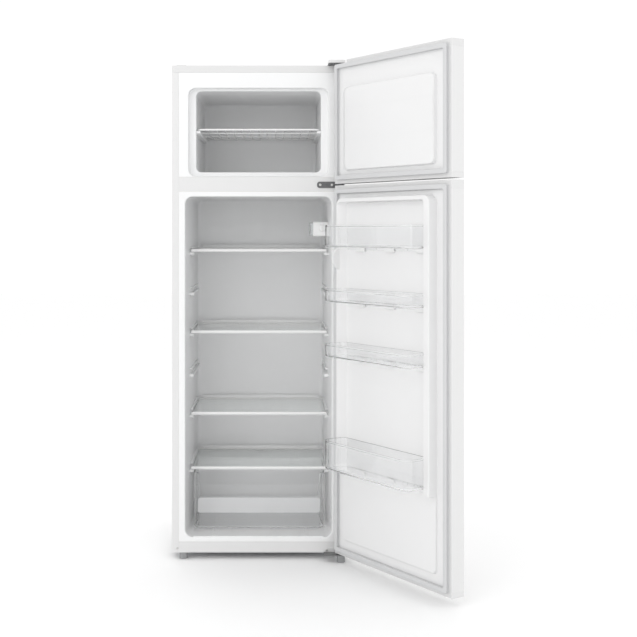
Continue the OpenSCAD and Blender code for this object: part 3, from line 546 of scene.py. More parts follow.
@dataclass(frozen=True)
class ClearFinish:
    """A clear finish, plastic or glass, with fine waves and wiping marks."""

    name: str
    colour: Colour
    gloss: float
    ior: float = 1.49
    clearness: float = 1.0
    relief: float = 0.01 * MM
    wave_scale: float = 60.0
    mark_scale: float = 9.0
    tint: float = 0.99
    spread: float = 0.03
    light_pass: float = 0.92

    def material(self) -> bpy.types.Material:
        """Builds the material the first time.

        Returns:
            The material.
        """
        if self.name in FINISHES:
            return FINISHES[self.name]
        made, tree, shader = start_material(self.name)
        fill(shader, {"IOR": self.ior, "Transmission Weight": self.clearness})
        self._let_light_through(tree, shader)
        tones = {"Base": (*self.colour, 1), "Tint": (*(c * self.tint for c in self.colour), 1),
                 "Scale": self.mark_scale, "Gloss": self.gloss, "Spread": self.spread}
        marks = NodeGroups.place(tree, "hand_marks", tones).outputs
        wave = NodeGroups.place(tree, "moulded_grain", {"Scale": self.wave_scale}).outputs["Height"]
        add_surface(tree, shader, marks["Color"], marks["Roughness"], wave, self.relief)
        return made

    def _let_light_through(self, tree: bpy.types.NodeTree, shader: bpy.types.Node) -> None:
        """Lets lamp light and light bounced off other surfaces pass, as thin clear walls do.

        Args:
            tree: The material's tree.
            shader: Its shader.
        """
        path = tree.nodes.new("ShaderNodeLightPath").outputs
        unseen = combine(tree, "MAXIMUM", path["Is Shadow Ray"], path["Is Diffuse Ray"])
        passed = combine(tree, "MULTIPLY", unseen, self.light_pass)
        tree.links.new(combine(tree, "SUBTRACT", 1.0, passed), shader.inputs["Alpha"])


WHITE = (0.745, 0.745, 0.745)
WARM_WHITE = (0.70, 0.698, 0.692)
ENAMEL = Finish("white_enamel", WHITE, WARM_WHITE, 0.30, coat=0.1, grain_scale=520.0, relief=0.03 * MM)
SATIN_WHITE = Finish("satin_white_plastic", (0.72, 0.72, 0.72), WARM_WHITE, 0.42, grain_scale=1600.0)
GLOSS_WHITE = Finish("gloss_white_plastic", (0.87, 0.87, 0.87), (0.82, 0.82, 0.815), 0.24, coat=0.1,
                     grain_scale=700.0)
LINER = Finish("formed_liner", (0.865, 0.868, 0.87), (0.83, 0.835, 0.84), 0.33, grain_scale=420.0,
               relief=0.04 * MM, dust=0.0)
DOOR_LINER = Finish("formed_door_liner", (0.82, 0.82, 0.822), (0.77, 0.77, 0.77), 0.33,
                    grain_scale=420.0, relief=0.04 * MM, dust=0.0)
FOAM = Finish("insulating_foam", (0.86, 0.76, 0.47), (0.74, 0.60, 0.33), 0.85, mark_scale=30.0,
              grain_scale=260.0, relief=0.4 * MM, dust=0.0)
ZINC = Finish("zinc_sheet", (0.58, 0.60, 0.62), (0.44, 0.46, 0.49), 0.42, metallic=0.9, spangle=0.35,
              wear=0.3, grain_scale=300.0, dust=0.25)
HINGE_STEEL = Finish("dark_hinge_steel", (0.10, 0.103, 0.106), (0.14, 0.14, 0.145), 0.45, metallic=0.5,
                     wear=0.9, worn_colour=(0.5, 0.5, 0.5), grain_scale=1300.0)
SCREW_STEEL = Finish("zinc_screws", (0.62, 0.62, 0.61), (0.45, 0.45, 0.44), 0.3, metallic=1.0,
                     texture=Texture.LINES, stretch=(900.0, 900.0, 900.0), wear=0.4)
PIN_STEEL = Finish("ground_pins", (0.66, 0.67, 0.68), (0.5, 0.5, 0.52), 0.2, metallic=1.0,
                   texture=Texture.LINES, relief=0.01 * MM, dust=0.0)
BLACK_ENAMEL = Finish("compressor_black", (0.018, 0.018, 0.02), (0.035, 0.035, 0.04), 0.34, coat=0.3,
                      wear=0.5, worn_colour=(0.25, 0.24, 0.23), grain_scale=420.0,
                      relief=0.06 * MM, dust=0.5)
RUBBER = Finish("black_rubber", (0.02, 0.02, 0.02), (0.05, 0.05, 0.05), 0.75, grain_scale=1800.0, dust=0.5)
BLACK_PLASTIC = Finish("black_plastic", (0.025, 0.025, 0.027), (0.05, 0.05, 0.05), 0.5,
                       grain_scale=1500.0, dust=0.5)
COPPER = Finish("drawn_copper", (0.66, 0.30, 0.17), (0.36, 0.17, 0.11), 0.3, metallic=1.0,
                mark_scale=45.0, mark_amount=0.9, texture=Texture.LINES, dust=0.2)
GREY_PLASTIC = Finish("grey_plastic", (0.42, 0.43, 0.45), (0.36, 0.37, 0.38), 0.5, grain_scale=1500.0,
                      dust=0.35)
FOOT_PLASTIC = Finish("foot_plastic", (0.33, 0.335, 0.34), (0.27, 0.27, 0.28), 0.55, grain_scale=1400.0)
GASKET = Finish("gasket_rubber", (0.64, 0.645, 0.65), (0.58, 0.58, 0.59), 0.6, grain_scale=1300.0)
WIRE = Finish("coated_wire", (0.85, 0.85, 0.85), WARM_WHITE, 0.28, coat=0.3, grain_scale=700.0, dust=0.0)
BOARD = Finish("lamp_board", (0.03, 0.16, 0.07), (0.05, 0.22, 0.10), 0.4, grain_scale=900.0)
CLEAR = ClearFinish("clear_plastic", (0.995, 0.998, 1.0), 0.012, relief=0.003 * MM, spread=0.015)
FROSTED = ClearFinish("frosted_grip", (0.95, 0.955, 0.96), 0.42, clearness=0.72, relief=0.03 * MM,
                      wave_scale=1500.0)
GLASS = ClearFinish("tempered_glass", (0.955, 0.985, 0.975), 0.015, ior=1.52, relief=0.004 * MM)
LENS = ClearFinish("lamp_lens", (0.93, 0.95, 0.96), 0.25, clearness=0.75, wave_scale=700.0)


# ---------------------------------------------------------------- meshes
class Shape:
    """A mesh under construction, to which lofts, prisms, tubes and turned forms are added."""

    def __init__(self) -> None:
        """Starts with no faces."""
        self.bm = bmesh.new()

    def loft(
        self,
        rings: Sequence[Ring],
        closed: bool = True,
        caps: tuple[bool, bool] = (True, True),
        wrap: bool = False,
    ) -> "Shape":
        """Joins rings with the same number of points.

        Args:
            rings: The rings, in order.
            closed: Whether each ring runs back to its first point.
            caps: Whether the first and the last ring are filled.
            wrap: Whether the last ring joins the first.

        Returns:
            This shape.
        """
        rows = [[self.bm.verts.new(p) for p in ring] for ring in rings]
        count = len(rows[0])
        pairs = list(zip(rows, rows[1:]))
        if wrap:
            pairs.append((rows[-1], rows[0]))
        for low, high in pairs:
            for i in range(count if closed else count - 1):
                j = (i + 1) % count
                self.bm.faces.new((low[i], low[j], high[j], high[i]))
        if caps[0] and not wrap:
            self.bm.faces.new(list(reversed(rows[0])))
        if caps[1] and not wrap:
            self.bm.faces.new(rows[-1])
        return self

    def prism(
        self,
        outline: Sequence[Point],
        span: Point,
        axis: Axis,
        soft: float = 0.8 * MM,
        segments: int = 2,
    ) -> "Shape":
        """Adds an extruded outline whose sharp edges are rounded.

        Args:
            outline: Points of the outline.
            span: Where it starts and ends along the axis.
            axis: Direction of the extrusion.
            soft: Radius of the rounded edges.
            segments: Steps in each rounding.

        Returns:
            This shape.
        """
        own = Shape()
        own.loft([[axis.point(a, b, s) for a, b in outline] for s in span])
        own.soften(soft, segments)
        return self.add(own)

    def block(self, low: Sequence[float], high: Sequence[float], soft: float = 0.8 * MM) -> "Shape":
        """Adds a box with rounded edges.

        Args:
            low: Its lowest corner.
            high: Its highest corner.
            soft: Radius of its edges.

        Returns:
            This shape.
        """
        outline = [(low[0], low[1]), (high[0], low[1]), (high[0], high[1]), (low[0], high[1])]
        return self.prism(outline, (low[2], high[2]), Axis.Z, soft)

    def soften(self, radius: float, segments: int = 2, angle: float = 30.0) -> "Shape":
        """Rounds every sharp edge.

        Args:
            radius: Radius of the rounding, or 0 for none.
            segments: Steps in each rounding.
            angle: Angle in degrees from which an edge counts as sharp.

        Returns:
            This shape.
        """
        if radius <= 0:
            return self
        bmesh.ops.recalc_face_normals(self.bm, faces=self.bm.faces)
        sharp = [e for e in self.bm.edges if e.is_manifold and e.calc_face_angle(0) > math.radians(angle)]
        bmesh.ops.bevel(
            self.bm, geom=sharp, offset=radius, segments=segments, profile=0.5,
            affect="EDGES", clamp_overlap=True,
        )
        return self

    def add(self, other: "Shape") -> "Shape":
        """Takes over the faces of another shape.

        Args:
            other: The shape, which is used up.

        Returns:
            This shape.
        """
        mesh = bpy.data.meshes.new("part")
        bmesh.ops.recalc_face_normals(other.bm, faces=other.bm.faces)
        other.bm.to_mesh(mesh)
        self.bm.from_mesh(mesh)
        bpy.data.meshes.remove(mesh)
        other.bm.free()
        return self

    def turned(
        self, profile: Sequence[Point], at: Vector, direction: Vector, steps: int = 48, flutes: float = 0.0
    ) -> "Shape":
        """Adds a form turned about an axis.

        Args:
            profile: Radius and height of each point, from the first face to the last.
            at: Point on the axis at height 0.
            direction: Direction of the axis.
            steps: Points in a turn.
            flutes: Depth of the grooves along the form, cut in every other point.

        Returns:
            This shape.
        """
        axis = direction.normalized()
        side = axis.orthogonal().normalized()
        front = axis.cross(side)
        rings = []
        for radius, height in profile:
            ring = []
            for i in range(steps):
                turn = 2 * math.pi * i / steps
                reach = radius - (flutes if i % 4 < 2 and radius > flutes * 4 else 0.0)
                ring.append(at + axis * height + (side * math.cos(turn) + front * math.sin(turn)) * reach)
            rings.append(ring)
        own = Shape()
        own.loft(rings)
        return self.add(own)

    def tube(self, path: Sequence[Vector], radius: float, sides: int = 12, ring: bool = False) -> "Shape":
        """Adds a round wire or pipe along a path.

        Args:
            path: Points of its middle line.
            radius: Its radius.
            sides: Points round it.
            ring: Whether it runs back to its start.

        Returns:
            This shape.
        """
        rings = []
        count = len(path)
        side: Vector | None = None
        for i, point in enumerate(path):
            before = path[(i - 1) % count] if ring or i > 0 else point
            after = path[(i + 1) % count] if ring or i < count - 1 else point
            ahead = (after - before).normalized()
            side = ahead.orthogonal() if side is None else side - ahead * side.dot(ahead)
            side.normalize()
            up = ahead.cross(side)
            turns = [2 * math.pi * k / sides for k in range(sides)]
            rings.append([point + (side * math.cos(t) + up * math.sin(t)) * radius for t in turns])
        if not ring:
            bulge, narrowed = 0.45, 0.6
            for end, inward in ((0, 1), (-1, -2)):
                tip = (path[end] - path[inward]).normalized() * radius * bulge
                cap = [path[end] + (p - path[end]) * narrowed + tip for p in rings[end]]
                rings.insert(0, cap) if end == 0 else rings.append(cap)
        own = Shape()
        own.loft(rings, wrap=ring)
        return self.add(own)

    def placed(self, matrix: Matrix) -> "Shape":
        """Moves everything made so far."""
        bmesh.ops.transform(self.bm, matrix=matrix, verts=self.bm.verts)
        return self

    def piece(
        self,
        name: str,
        finish: Finish | ClearFinish,
        body: str,
        slot: str,
        replaces: Iterable[str] = (),
        crease: float = 38.0,
    ) -> bpy.types.Object:
        """Closes the mesh and makes it a piece of the object.

        Args:
            name: Name of the piece.
            finish: Its finish.
            body: The body it rides on.
            slot: The record's material slot; not used.
            replaces: The nodes it stands for.
            crease: Edges sharper than this angle in degrees stay sharp in shading.

        Returns:
            The new object.
        """
        nothing = 0.001 * MM
        bmesh.ops.remove_doubles(self.bm, verts=self.bm.verts, dist=nothing)
        bmesh.ops.dissolve_degenerate(self.bm, dist=nothing, edges=self.bm.edges)
        bmesh.ops.recalc_face_normals(self.bm, faces=self.bm.faces)
        mesh = bpy.data.meshes.new(name)
        self.bm.to_mesh(mesh)
        self.bm.free()
        mesh.shade_smooth()
        mesh.set_sharp_from_angle(angle=math.radians(crease))
        made = bpy.data.objects.new(name, mesh)
        bpy.context.scene.collection.objects.link(made)
        mesh.materials.append(finish.material())
        even = made.modifiers.new("even_faces", "WEIGHTED_NORMAL")
        even.keep_sharp = True
        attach(made, body)
        if replaces:
            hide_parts(*replaces)
        log.info("%s: %d faces on %s", name, len(mesh.polygons), body)
        return made


def dress(node: str, finish: Finish | ClearFinish, edge: float = 0.0, segments: int = 2) -> None:
    """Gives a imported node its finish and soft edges.

    Args:
        node: Name of the node.
        finish: Its finish.
        edge: Radius of its rounded edges, or 0 for none.
        segments: Steps in each rounding.
    """
    piece = frame["nodes"][node]
    piece.data.materials.clear()
    piece.data.materials.append(finish.material())
    piece.data.shade_smooth()
    weld = piece.modifiers.new("weld", "WELD")
    weld.merge_threshold = 0.01 * MM
    flat = piece.modifiers.new("flat_faces", "DECIMATE")
    flat.decimate_type = "DISSOLVE"
    flat.angle_limit = math.radians(0.6)
    if edge:
        bevel = piece.modifiers.new("soft_edges", "BEVEL")
        bevel.width = edge
        bevel.segments = segments
        bevel.limit_method = "ANGLE"
        bevel.angle_limit = math.radians(32)
        bevel.harden_normals = False
    piece.data.set_sharp_from_angle(angle=math.radians(38))
    even = piece.modifiers.new("even_faces", "WEIGHTED_NORMAL")
    even.keep_sharp = False
    log.info("%s: dressed in %s", node, finish.name)


# ---------------------------------------------------------------- cabinet
SHARP_CORNER = 0.5 * MM


@dataclass
class CabinetShell:
    """Painted panels, covers, back sheet and foam."""

    edge: float = 0.5 * MM
    cover_edge: float = 1.6 * MM

    def build(self) -> None:
        """Dresses each panel."""
        for node in ("side_panel_left", "side_panel_right", "mullion_cover", "bottom_rail"):
            dress(node, ENAMEL, self.edge)
        dress("top_cover", SATIN_WHITE, self.cover_edge, 3)
        dress("top_hinge_cover", SATIN_WHITE, self.cover_edge, 3)
        dress("hole_plugs", SATIN_WHITE, self.edge)
        dress("back_panel", ZINC, self.edge)
        dress("body_foam", FOAM)
        dress("foamed_pipework", COPPER)


@dataclass
class Section:
    """One cross-section of a formed liner, seen from the front."""

    half: float
    z: Point
    radius: float
    y: float

    def ring(self) -> Ring:
        """Returns the section's points."""
        outline = rounded((-self.half, self.half), self.z, max(self.radius, SHARP_CORNER))
        return [Vector((a, self.y, b)) for a, b in outline]


@dataclass
class FreezerCompartment:
    """Vacuum-formed liner of the freezer with its ledge and shelf supports."""

    front: float = -250 * MM
    flange: Point = (1205.2 * MM, 1533.8 * MM)
    flange_half: float = 251.3 * MM
    mouth_half: float = 220.5 * MM
    mouth: Point = (1207 * MM, 1485 * MM)
    mouth_radius: float = 22 * MM
    ledge: float = -225 * MM
    inner_half: float = 197.5 * MM
    inner: Point = (1221 * MM, 1478 * MM)
    inner_radius: float = 17 * MM
    back: float = 178 * MM
    sheet: float = 2 * MM
    lip: float = 3 * MM
    foot: float = 6 * MM
    edge: float = 4 * MM
    back_radius: float = 13 * MM
    sill_room: float = 1.5 * MM
    rail_drop: float = 3.6 * MM
    rail_height: float = 12 * MM
    rail_width: float = 12 * MM
    shelf_height: float = 1357 * MM

    def sections(self) -> list[Section]:
        """Rounds the liner from its flange over the mouth and the ledge to its back wall.

        Returns:
            The sections that are seen, from the front.
        """
        lip, foot, edge, back = self.lip, self.foot, self.edge, self.back_radius
        rows = [Section(self.flange_half, self.flange, SHARP_CORNER, self.front)]
        rows += [self._mouth(lip * (1 - s), self.front + lip * c) for s, c in quarter(22)]
        rows += [self._mouth(-foot * c, self.ledge - foot + foot * s) for s, c in quarter(22)]
        rows += [self._inner(edge * (1 - s), self.ledge + edge * c) for s, c in quarter(22)]
        rows += [self._inner(-back * c, self.back - back + back * s) for s, c in quarter(15)]
        return rows

    def _mouth(self, grow: float, y: float) -> Section:
        """Returns a section of the mouth at a depth."""
        z = (self.mouth[0] - min(grow, self.sill_room), self.mouth[1] + grow)
        return Section(self.mouth_half + grow, z, self.mouth_radius + grow, y)

    def _inner(self, grow: float, y: float) -> Section:
        """Returns a section of the inside at a depth."""
        z = (self.inner[0] - grow, self.inner[1] + grow)
        return Section(self.inner_half + grow, z, self.inner_radius + grow, y)

    def build(self) -> None:
        """Builds the liner sheet and the ribs that carry the shelf."""
        outside = [
            self._inner(self.sheet, self.back + self.sheet),
            self._inner(self.sheet, self.ledge + self.sheet),
            self._mouth(self.sheet, self.ledge + self.sheet),
            self._mouth(self.sheet, self.front + self.sheet),
            Section(self.flange_half, self.flange, SHARP_CORNER, self.front + self.sheet),
        ]
        shape = Shape().loft([s.ring() for s in outside + self.sections()])
        shape.piece("freezer_liner_sheet", LINER, "cabinet", "liner_plastic", ["freezer_liner"])
        self._supports()

    def _supports(self) -> None:
        """Builds the two wedge-shaped ribs under the wire shelf."""
        top = self.shelf_height - self.rail_drop
        start, end = self.ledge + 8 * MM, self.back - 15 * MM
        low, nose = top - self.rail_height, 5 * MM
        outline = arc((start + nose, top - nose), nose, 90, 215, 5)
        outline += [(start + 26 * MM, low), (end, low), (end, top)]
        ribs = Shape()
        for side in (-1, 1):
            inside, wall = self.inner_half - self.rail_width, self.inner_half + 1 * MM
            near, far = sorted((side * inside, side * wall))
            ribs.prism(outline, (near, far), Axis.X, 1.4 * MM, 3)
        ribs.piece("freezer_shelf_supports", LINER, "cabinet", "liner_plastic")


@dataclass
class FridgeCompartment:
    """Vacuum-formed liner of the fridge with its step over the compressor and its shelf supports."""

    front: float = -250 * MM
    flange: Point = (56.7 * MM, 1158.8 * MM)
    flange_half: float = 251.3 * MM
    mouth_half: float = 231 * MM
    inner_half: float = 222 * MM
    taper_end: float = -80 * MM
    height: Point = (70 * MM, 1143 * MM)
    mouth_radius: float = 24 * MM
    back: float = 190 * MM
    step_y: float = 57 * MM
    step_z: float = 258 * MM
    sheet: float = 2 * MM
    lip: float = 4 * MM
    foot: float = 9 * MM
    brow: float = 12 * MM
    back_radius: float = 15 * MM
    radius_taper: float = 6 * MM
    rail_in: float = 212 * MM
    rail: Point = (-140 * MM, 150 * MM)
    rail_radius: float = 5.6 * MM
    stop_width: float = 6 * MM
    stop_setback: float = 20 * MM
    stop_radius: float = 2 * MM
    sill_half: float = 205 * MM
    runner_x: float = 150 * MM
    runner_width: float = 10 * MM
    levels: tuple[float, ...] = (972, 840, 708, 576, 444, 267)

    def _section(self, grow: float, y: float, low: float) -> Section:
        """Returns a section of the inside.

        Args:
            grow: Distance that it is grown outwards.
            y: Its depth.
            low: Height of its floor.

        Returns:
            The section.
        """
        share = min(1.0, max(0.0, (y - self.front) / (self.taper_end - self.front)))
        half = self.mouth_half + (self.inner_half - self.mouth_half) * share
        radius = self.mouth_radius - self.radius_taper * share
        return Section(half + grow, (low - grow, self.height[1] + grow), radius + grow, y)

    def build(self) -> None:
        """Builds the liner sheet, the shelf supports and the threshold."""
        floor, y, z = self.height[0], self.step_y, self.step_z
        lip, foot, brow, back = self.lip, self.foot, self.brow, self.back_radius
        rows = [Section(self.flange_half, self.flange, SHARP_CORNER, self.front)]
        rows += [self._section(lip * (1 - s), self.front + lip * c, floor) for s, c in quarter(18)]
        rows.append(self._section(0, self.taper_end, floor))
        rows += [self._section(0, y - foot + foot * s, floor + foot * c) for s, c in quarter(15)]
        rows += [self._section(0, y + brow * c, z - brow + brow * s) for s, c in quarter(15)]
        rows += [self._section(-back * c, self.back - back + back * s, z) for s, c in quarter(15)]
        outside = [
            self._section(self.sheet, self.back + self.sheet, z),
            self._section(self.sheet, y + self.sheet, z),
            self._section(self.sheet, y + self.sheet, floor),
            self._section(self.sheet, self.front + self.sheet, floor),
            Section(self.flange_half, self.flange, SHARP_CORNER, self.front + self.sheet),
        ]
        shape = Shape().loft([s.ring() for s in outside + rows])
        shape.piece("fridge_liner_sheet", LINER, "cabinet", "liner_plastic", ["fridge_liner"])
        self._supports()
        self._threshold()

    def _supports(self) -> None:
        """Builds the paired ribs between which each shelf slides."""
        start, end = self.rail
        wall, stop_in = self.mouth_half + 1 * MM, self.inner_half - self.stop_width
        stop_start = start + self.stop_setback
        ribs = Shape()
        for level in self.levels:
            z = level * MM
            rail = arc((start + 6 * MM, z - 10.5 * MM), self.rail_radius, 90, 270, 8)
            rail += [(end, z - 12 * MM), (end, z - 4.9 * MM)]
            stop = arc((stop_start + 3 * MM, z + 9 * MM), self.stop_radius, 90, 270)
            stop += [(end, z + 7 * MM), (end, z + 11 * MM)]
            for side in (-1, 1):
                low, high = sorted((side * self.rail_in, side * wall))
                ribs.prism(rail, (low, high), Axis.X, 1.2 * MM, 3)
                low, high = sorted((side * stop_in, side * wall))
                ribs.prism(stop, (low, high), Axis.X, 0.9 * MM)
        ribs.piece("fridge_shelf_supports", LINER, "cabinet", "liner_plastic")

    def _threshold(self) -> None:
        """Builds the low sill at the mouth and the two runners under the crisper."""
        top = self.height[0] + 2.4 * MM
        bars = Shape()
        sill = arc((self.front + 4.5 * MM, top - 2 * MM), 2 * MM, 180, 0, 8)
        outline = sill + [(self.front + 9 * MM, top - 5 * MM), (self.front + 2.5 * MM, top - 5 * MM)]
        bars.prism(outline, (-self.sill_half, self.sill_half), Axis.X, 0.5 * MM)
        wide = self.runner_width / 2
        for x in (-self.runner_x, self.runner_x):
            low = (x - wide, self.front + 8 * MM, self.height[0] - 1 * MM)
            bars.block(low, (x + wide, self.step_y, top), 0.9 * MM)
        bars.piece("fridge_floor_runners", LINER, "cabinet", "liner_plastic")


# ---------------------------------------------------------------- hinges and feet
@dataclass
class Hardware:
    """Hinge plates, pins, screws, feet and rollers."""

    edge: float = 0.5 * MM
    plate: float = 3 * MM
    pin_hole: float = 4.1 * MM
    flange: Point = (50 * MM, 2.9 * MM)
    head_height: float = 2.2 * MM
    longest_screw: float = 20 * MM
    thread_pitch: float = 1.2
    sole: tuple[Point, ...] = ((0.0, 0.0), (11.6, 0.0), (12.6, 0.5), (13.2, 1.6), (13.2, 2.4), (12.9, 3.2),
                               (0.0, 3.2))
    grip: tuple[Point, ...] = ((0.0, 2.8), (12.6, 2.8), (12.9, 3.6), (12.4, 16.4), (11.8, 17.2), (0.0, 17.2))
    collar: tuple[Point, ...] = ((0.0, 17.0), (12.6, 17.2), (13.6, 17.6), (13.9, 18.4), (13.9, 20.8),
                                 (13.4, 21.5), (4.0, 21.5), (0.0, 21.5))

    def build(self) -> None:
        """Dresses the plates and builds the screws and feet."""
        for node in ("top_hinge", "middle_hinge"):
            dress(node, HINGE_STEEL, self.edge)
        self._bottom_hinge()
        dress("pivot_pins", PIN_STEEL, 0.3 * MM)
        for side in ("left", "right"):
            dress(f"{side}_roller", GREY_PLASTIC, 0.4 * MM)
            self._foot(side)
        self._screws()

    def _bottom_hinge(self) -> None:
        """Builds the lowest hinge plate with its pin hole, and its painted flange."""
        low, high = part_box("bottom_hinge")
        axis = DoorPose("fridge_door_hinge").axis
        top, hole, soft = low.z + self.plate, self.pin_hole, 0.4 * MM
        rows = []
        for inset, z in ((soft, low.z), (0.0, low.z + soft), (0.0, top - soft), (soft, top)):
            outline = rounded((low.x + inset, high.x - inset), (low.y + inset, high.y - inset), 6 * MM)
            rows.append([Vector((a, b, z)) for a, b in outline])
        for z in (top, low.z):
            turns = [math.atan2(p.y - axis.y, p.x - axis.x) for p in rows[0]]
            rows.append([Vector((axis.x + hole * math.cos(t), axis.y + hole * math.sin(t), z))
                         for t in turns])
        plate = Shape().loft(rows, wrap=True)
        plate.piece("bottom_hinge_plate", HINGE_STEEL, "cabinet", "dark_hinge_steel", ["bottom_hinge"])
        width, thickness = self.flange
        flange = Shape().block((low.x, high.y - thickness, low.z + 1 * MM),
                               (low.x + width, high.y, high.z), 0.9 * MM)
        flange.piece("bottom_hinge_flange", ENAMEL, "cabinet", "white_enamel")

    def _foot(self, side: str) -> None:
        """Builds a levelling foot with a fluted grip, a collar and its threaded bolt.

        Args:
            side: The side that it stands on.
        """
        low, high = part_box(f"{side}_foot")
        at = Vector(((low.x + high.x) / 2, (low.y + high.y) / 2, 0.0))
        shape = Shape()
        shape.turned(scaled(*self.sole), at, UP)
        shape.turned(scaled(*self.grip), at, UP, 72, 0.7 * MM)
        shape.turned(scaled(*self.collar), at, UP)
        top = high.z / MM
        bolt = [(0.0, 21.0), (4.0, 21.0)]
        turn = 21.6
        while turn < top - 1.4:
            bolt += [(3.95, turn), (3.5, turn + self.thread_pitch / 2)]
            turn += self.thread_pitch
        bolt += [(3.9, top - 0.6), (3.4, top), (0.0, top)]
        shape.turned(scaled(*bolt), at, UP, 24)
        shape.piece(f"{side}_levelling_foot", FOOT_PLASTIC, f"{side}_foot", "foot_plastic",
                    [f"{side}_foot"])

    @staticmethod
    def screw_head(shape: Shape, at: Vector, direction: Vector, radius: float, height: float) -> None:
        """Adds a pan head with a cross recess.

        Args:
            shape: The shape that it is added to.
            at: Middle of its seat.
            direction: The way it looks.
            radius: Radius of the head.
            height: Height of the head.
        """
        axis = direction.normalized()
        side = axis.orthogonal().normalized()
        front = axis.cross(side)
        steps, rows = 48, 12
        rings = [[at + (side * math.cos(t) + front * math.sin(t)) * radius
                  for t in (2 * math.pi * i / steps for i in range(steps))]]
        rim, crown, slot_half, slot_reach, slot_floor = 0.35, 0.65, 0.13, 0.52, 0.45
        for row in range(rows + 1):
            share = math.cos(math.pi / 2 * row / rows)
            ring = []
            for i in range(steps):
                turn = 2 * math.pi * i / steps
                a, b = math.cos(turn) * share * radius, math.sin(turn) * share * radius
                rise = height * (rim + crown * math.sqrt(max(0.0, 1 - share**2 * 0.9)))
                near, far = sorted((abs(a), abs(b)))
                in_slot = near < radius * slot_half and far < radius * slot_reach
                ring.append(at + side * a + front * b + axis * (rise * (slot_floor if in_slot else 1.0)))
            rings.append(ring)
        own = Shape()
        own.loft(rings, caps=(True, False))
        shape.add(own)

    def _screws(self) -> None:
        """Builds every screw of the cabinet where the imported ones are."""
        node = frame["nodes"]["fasteners"]
        source = bmesh.new()
        source.from_mesh(node.data)
        bmesh.ops.remove_doubles(source, verts=source.verts, dist=0.01 * MM)
        solids = self._islands(source)
        source.free()
        shape, height = Shape(), self.head_height
        for low, high in solids:
            size, middle = high - low, (low + high) / 2
            if size.z > self.longest_screw:
                self._bolt(shape, middle, high.z, size.x / 2)
            elif abs(size.x - size.y) < 0.2 * MM:
                seat = Vector((middle.x, middle.y, high.z - height))
                self.screw_head(shape, seat, UP, max(size.x, size.y) / 2, height)
            else:
                out = -1 if middle.y < 0 else 1
                seat = Vector((middle.x, (low.y if out < 0 else high.y) - out * height, middle.z))
                self.screw_head(shape, seat, Vector((0, out, 0)), max(size.x, size.z) / 2, height)
        shape.piece("screws_and_bolts", SCREW_STEEL, "cabinet", "zinc_screws", ["fasteners"])

    @staticmethod
    def _bolt(shape: Shape, middle: Vector, top: float, radius: float) -> None:
        """Adds a hexagon bolt of the compressor with its washer.

        Args:
            shape: The shape that it is added to.
            middle: A point on its axis.
            top: Height of its head.
            radius: Radius of its head.
        """
        under, over, wide = -2.4 * MM, -1.2 * MM, radius + 2 * MM
        seat = Vector((middle.x, middle.y, top - 2.2 * MM))
        shape.turned([*scaled((0.0, -25), (2.7, -25), (2.7, -2.4)), (0.0, under)], seat, UP, 24)
        shape.turned([(0.0, under), (wide, under), (wide, over), (0.0, over)], seat, UP, 32)
        six = [(middle.x + radius * math.cos(math.pi / 3 * i), middle.y + radius * math.sin(math.pi / 3 * i))
               for i in range(6)]
        shape.prism(six, (top - 3.4 * MM, top), Axis.Z, 0.5 * MM)

    @staticmethod
    def _islands(source: bmesh.types.BMesh) -> list[tuple[Vector, Vector]]:
        """Finds the separate solids in a mesh.

        Args:
            source: The mesh.

        Returns:
            The lowest and highest corner of each.
        """
        seen: set[int] = set()
        found = []
        for start in source.verts:
            if start.index in seen:
                continue
            stack, group = [start], []
            seen.add(start.index)
            while stack:
                vert = stack.pop()
                group.append(vert.co)
                for edge in vert.link_edges:
                    other = edge.other_vert(vert)
                    if other.index not in seen:
                        seen.add(other.index)
                        stack.append(other)
            low = Vector(tuple(min(p[k] for p in group) for k in range(3)))
            high = Vector(tuple(max(p[k] for p in group) for k in range(3)))
            found.append((low, high))
        return found


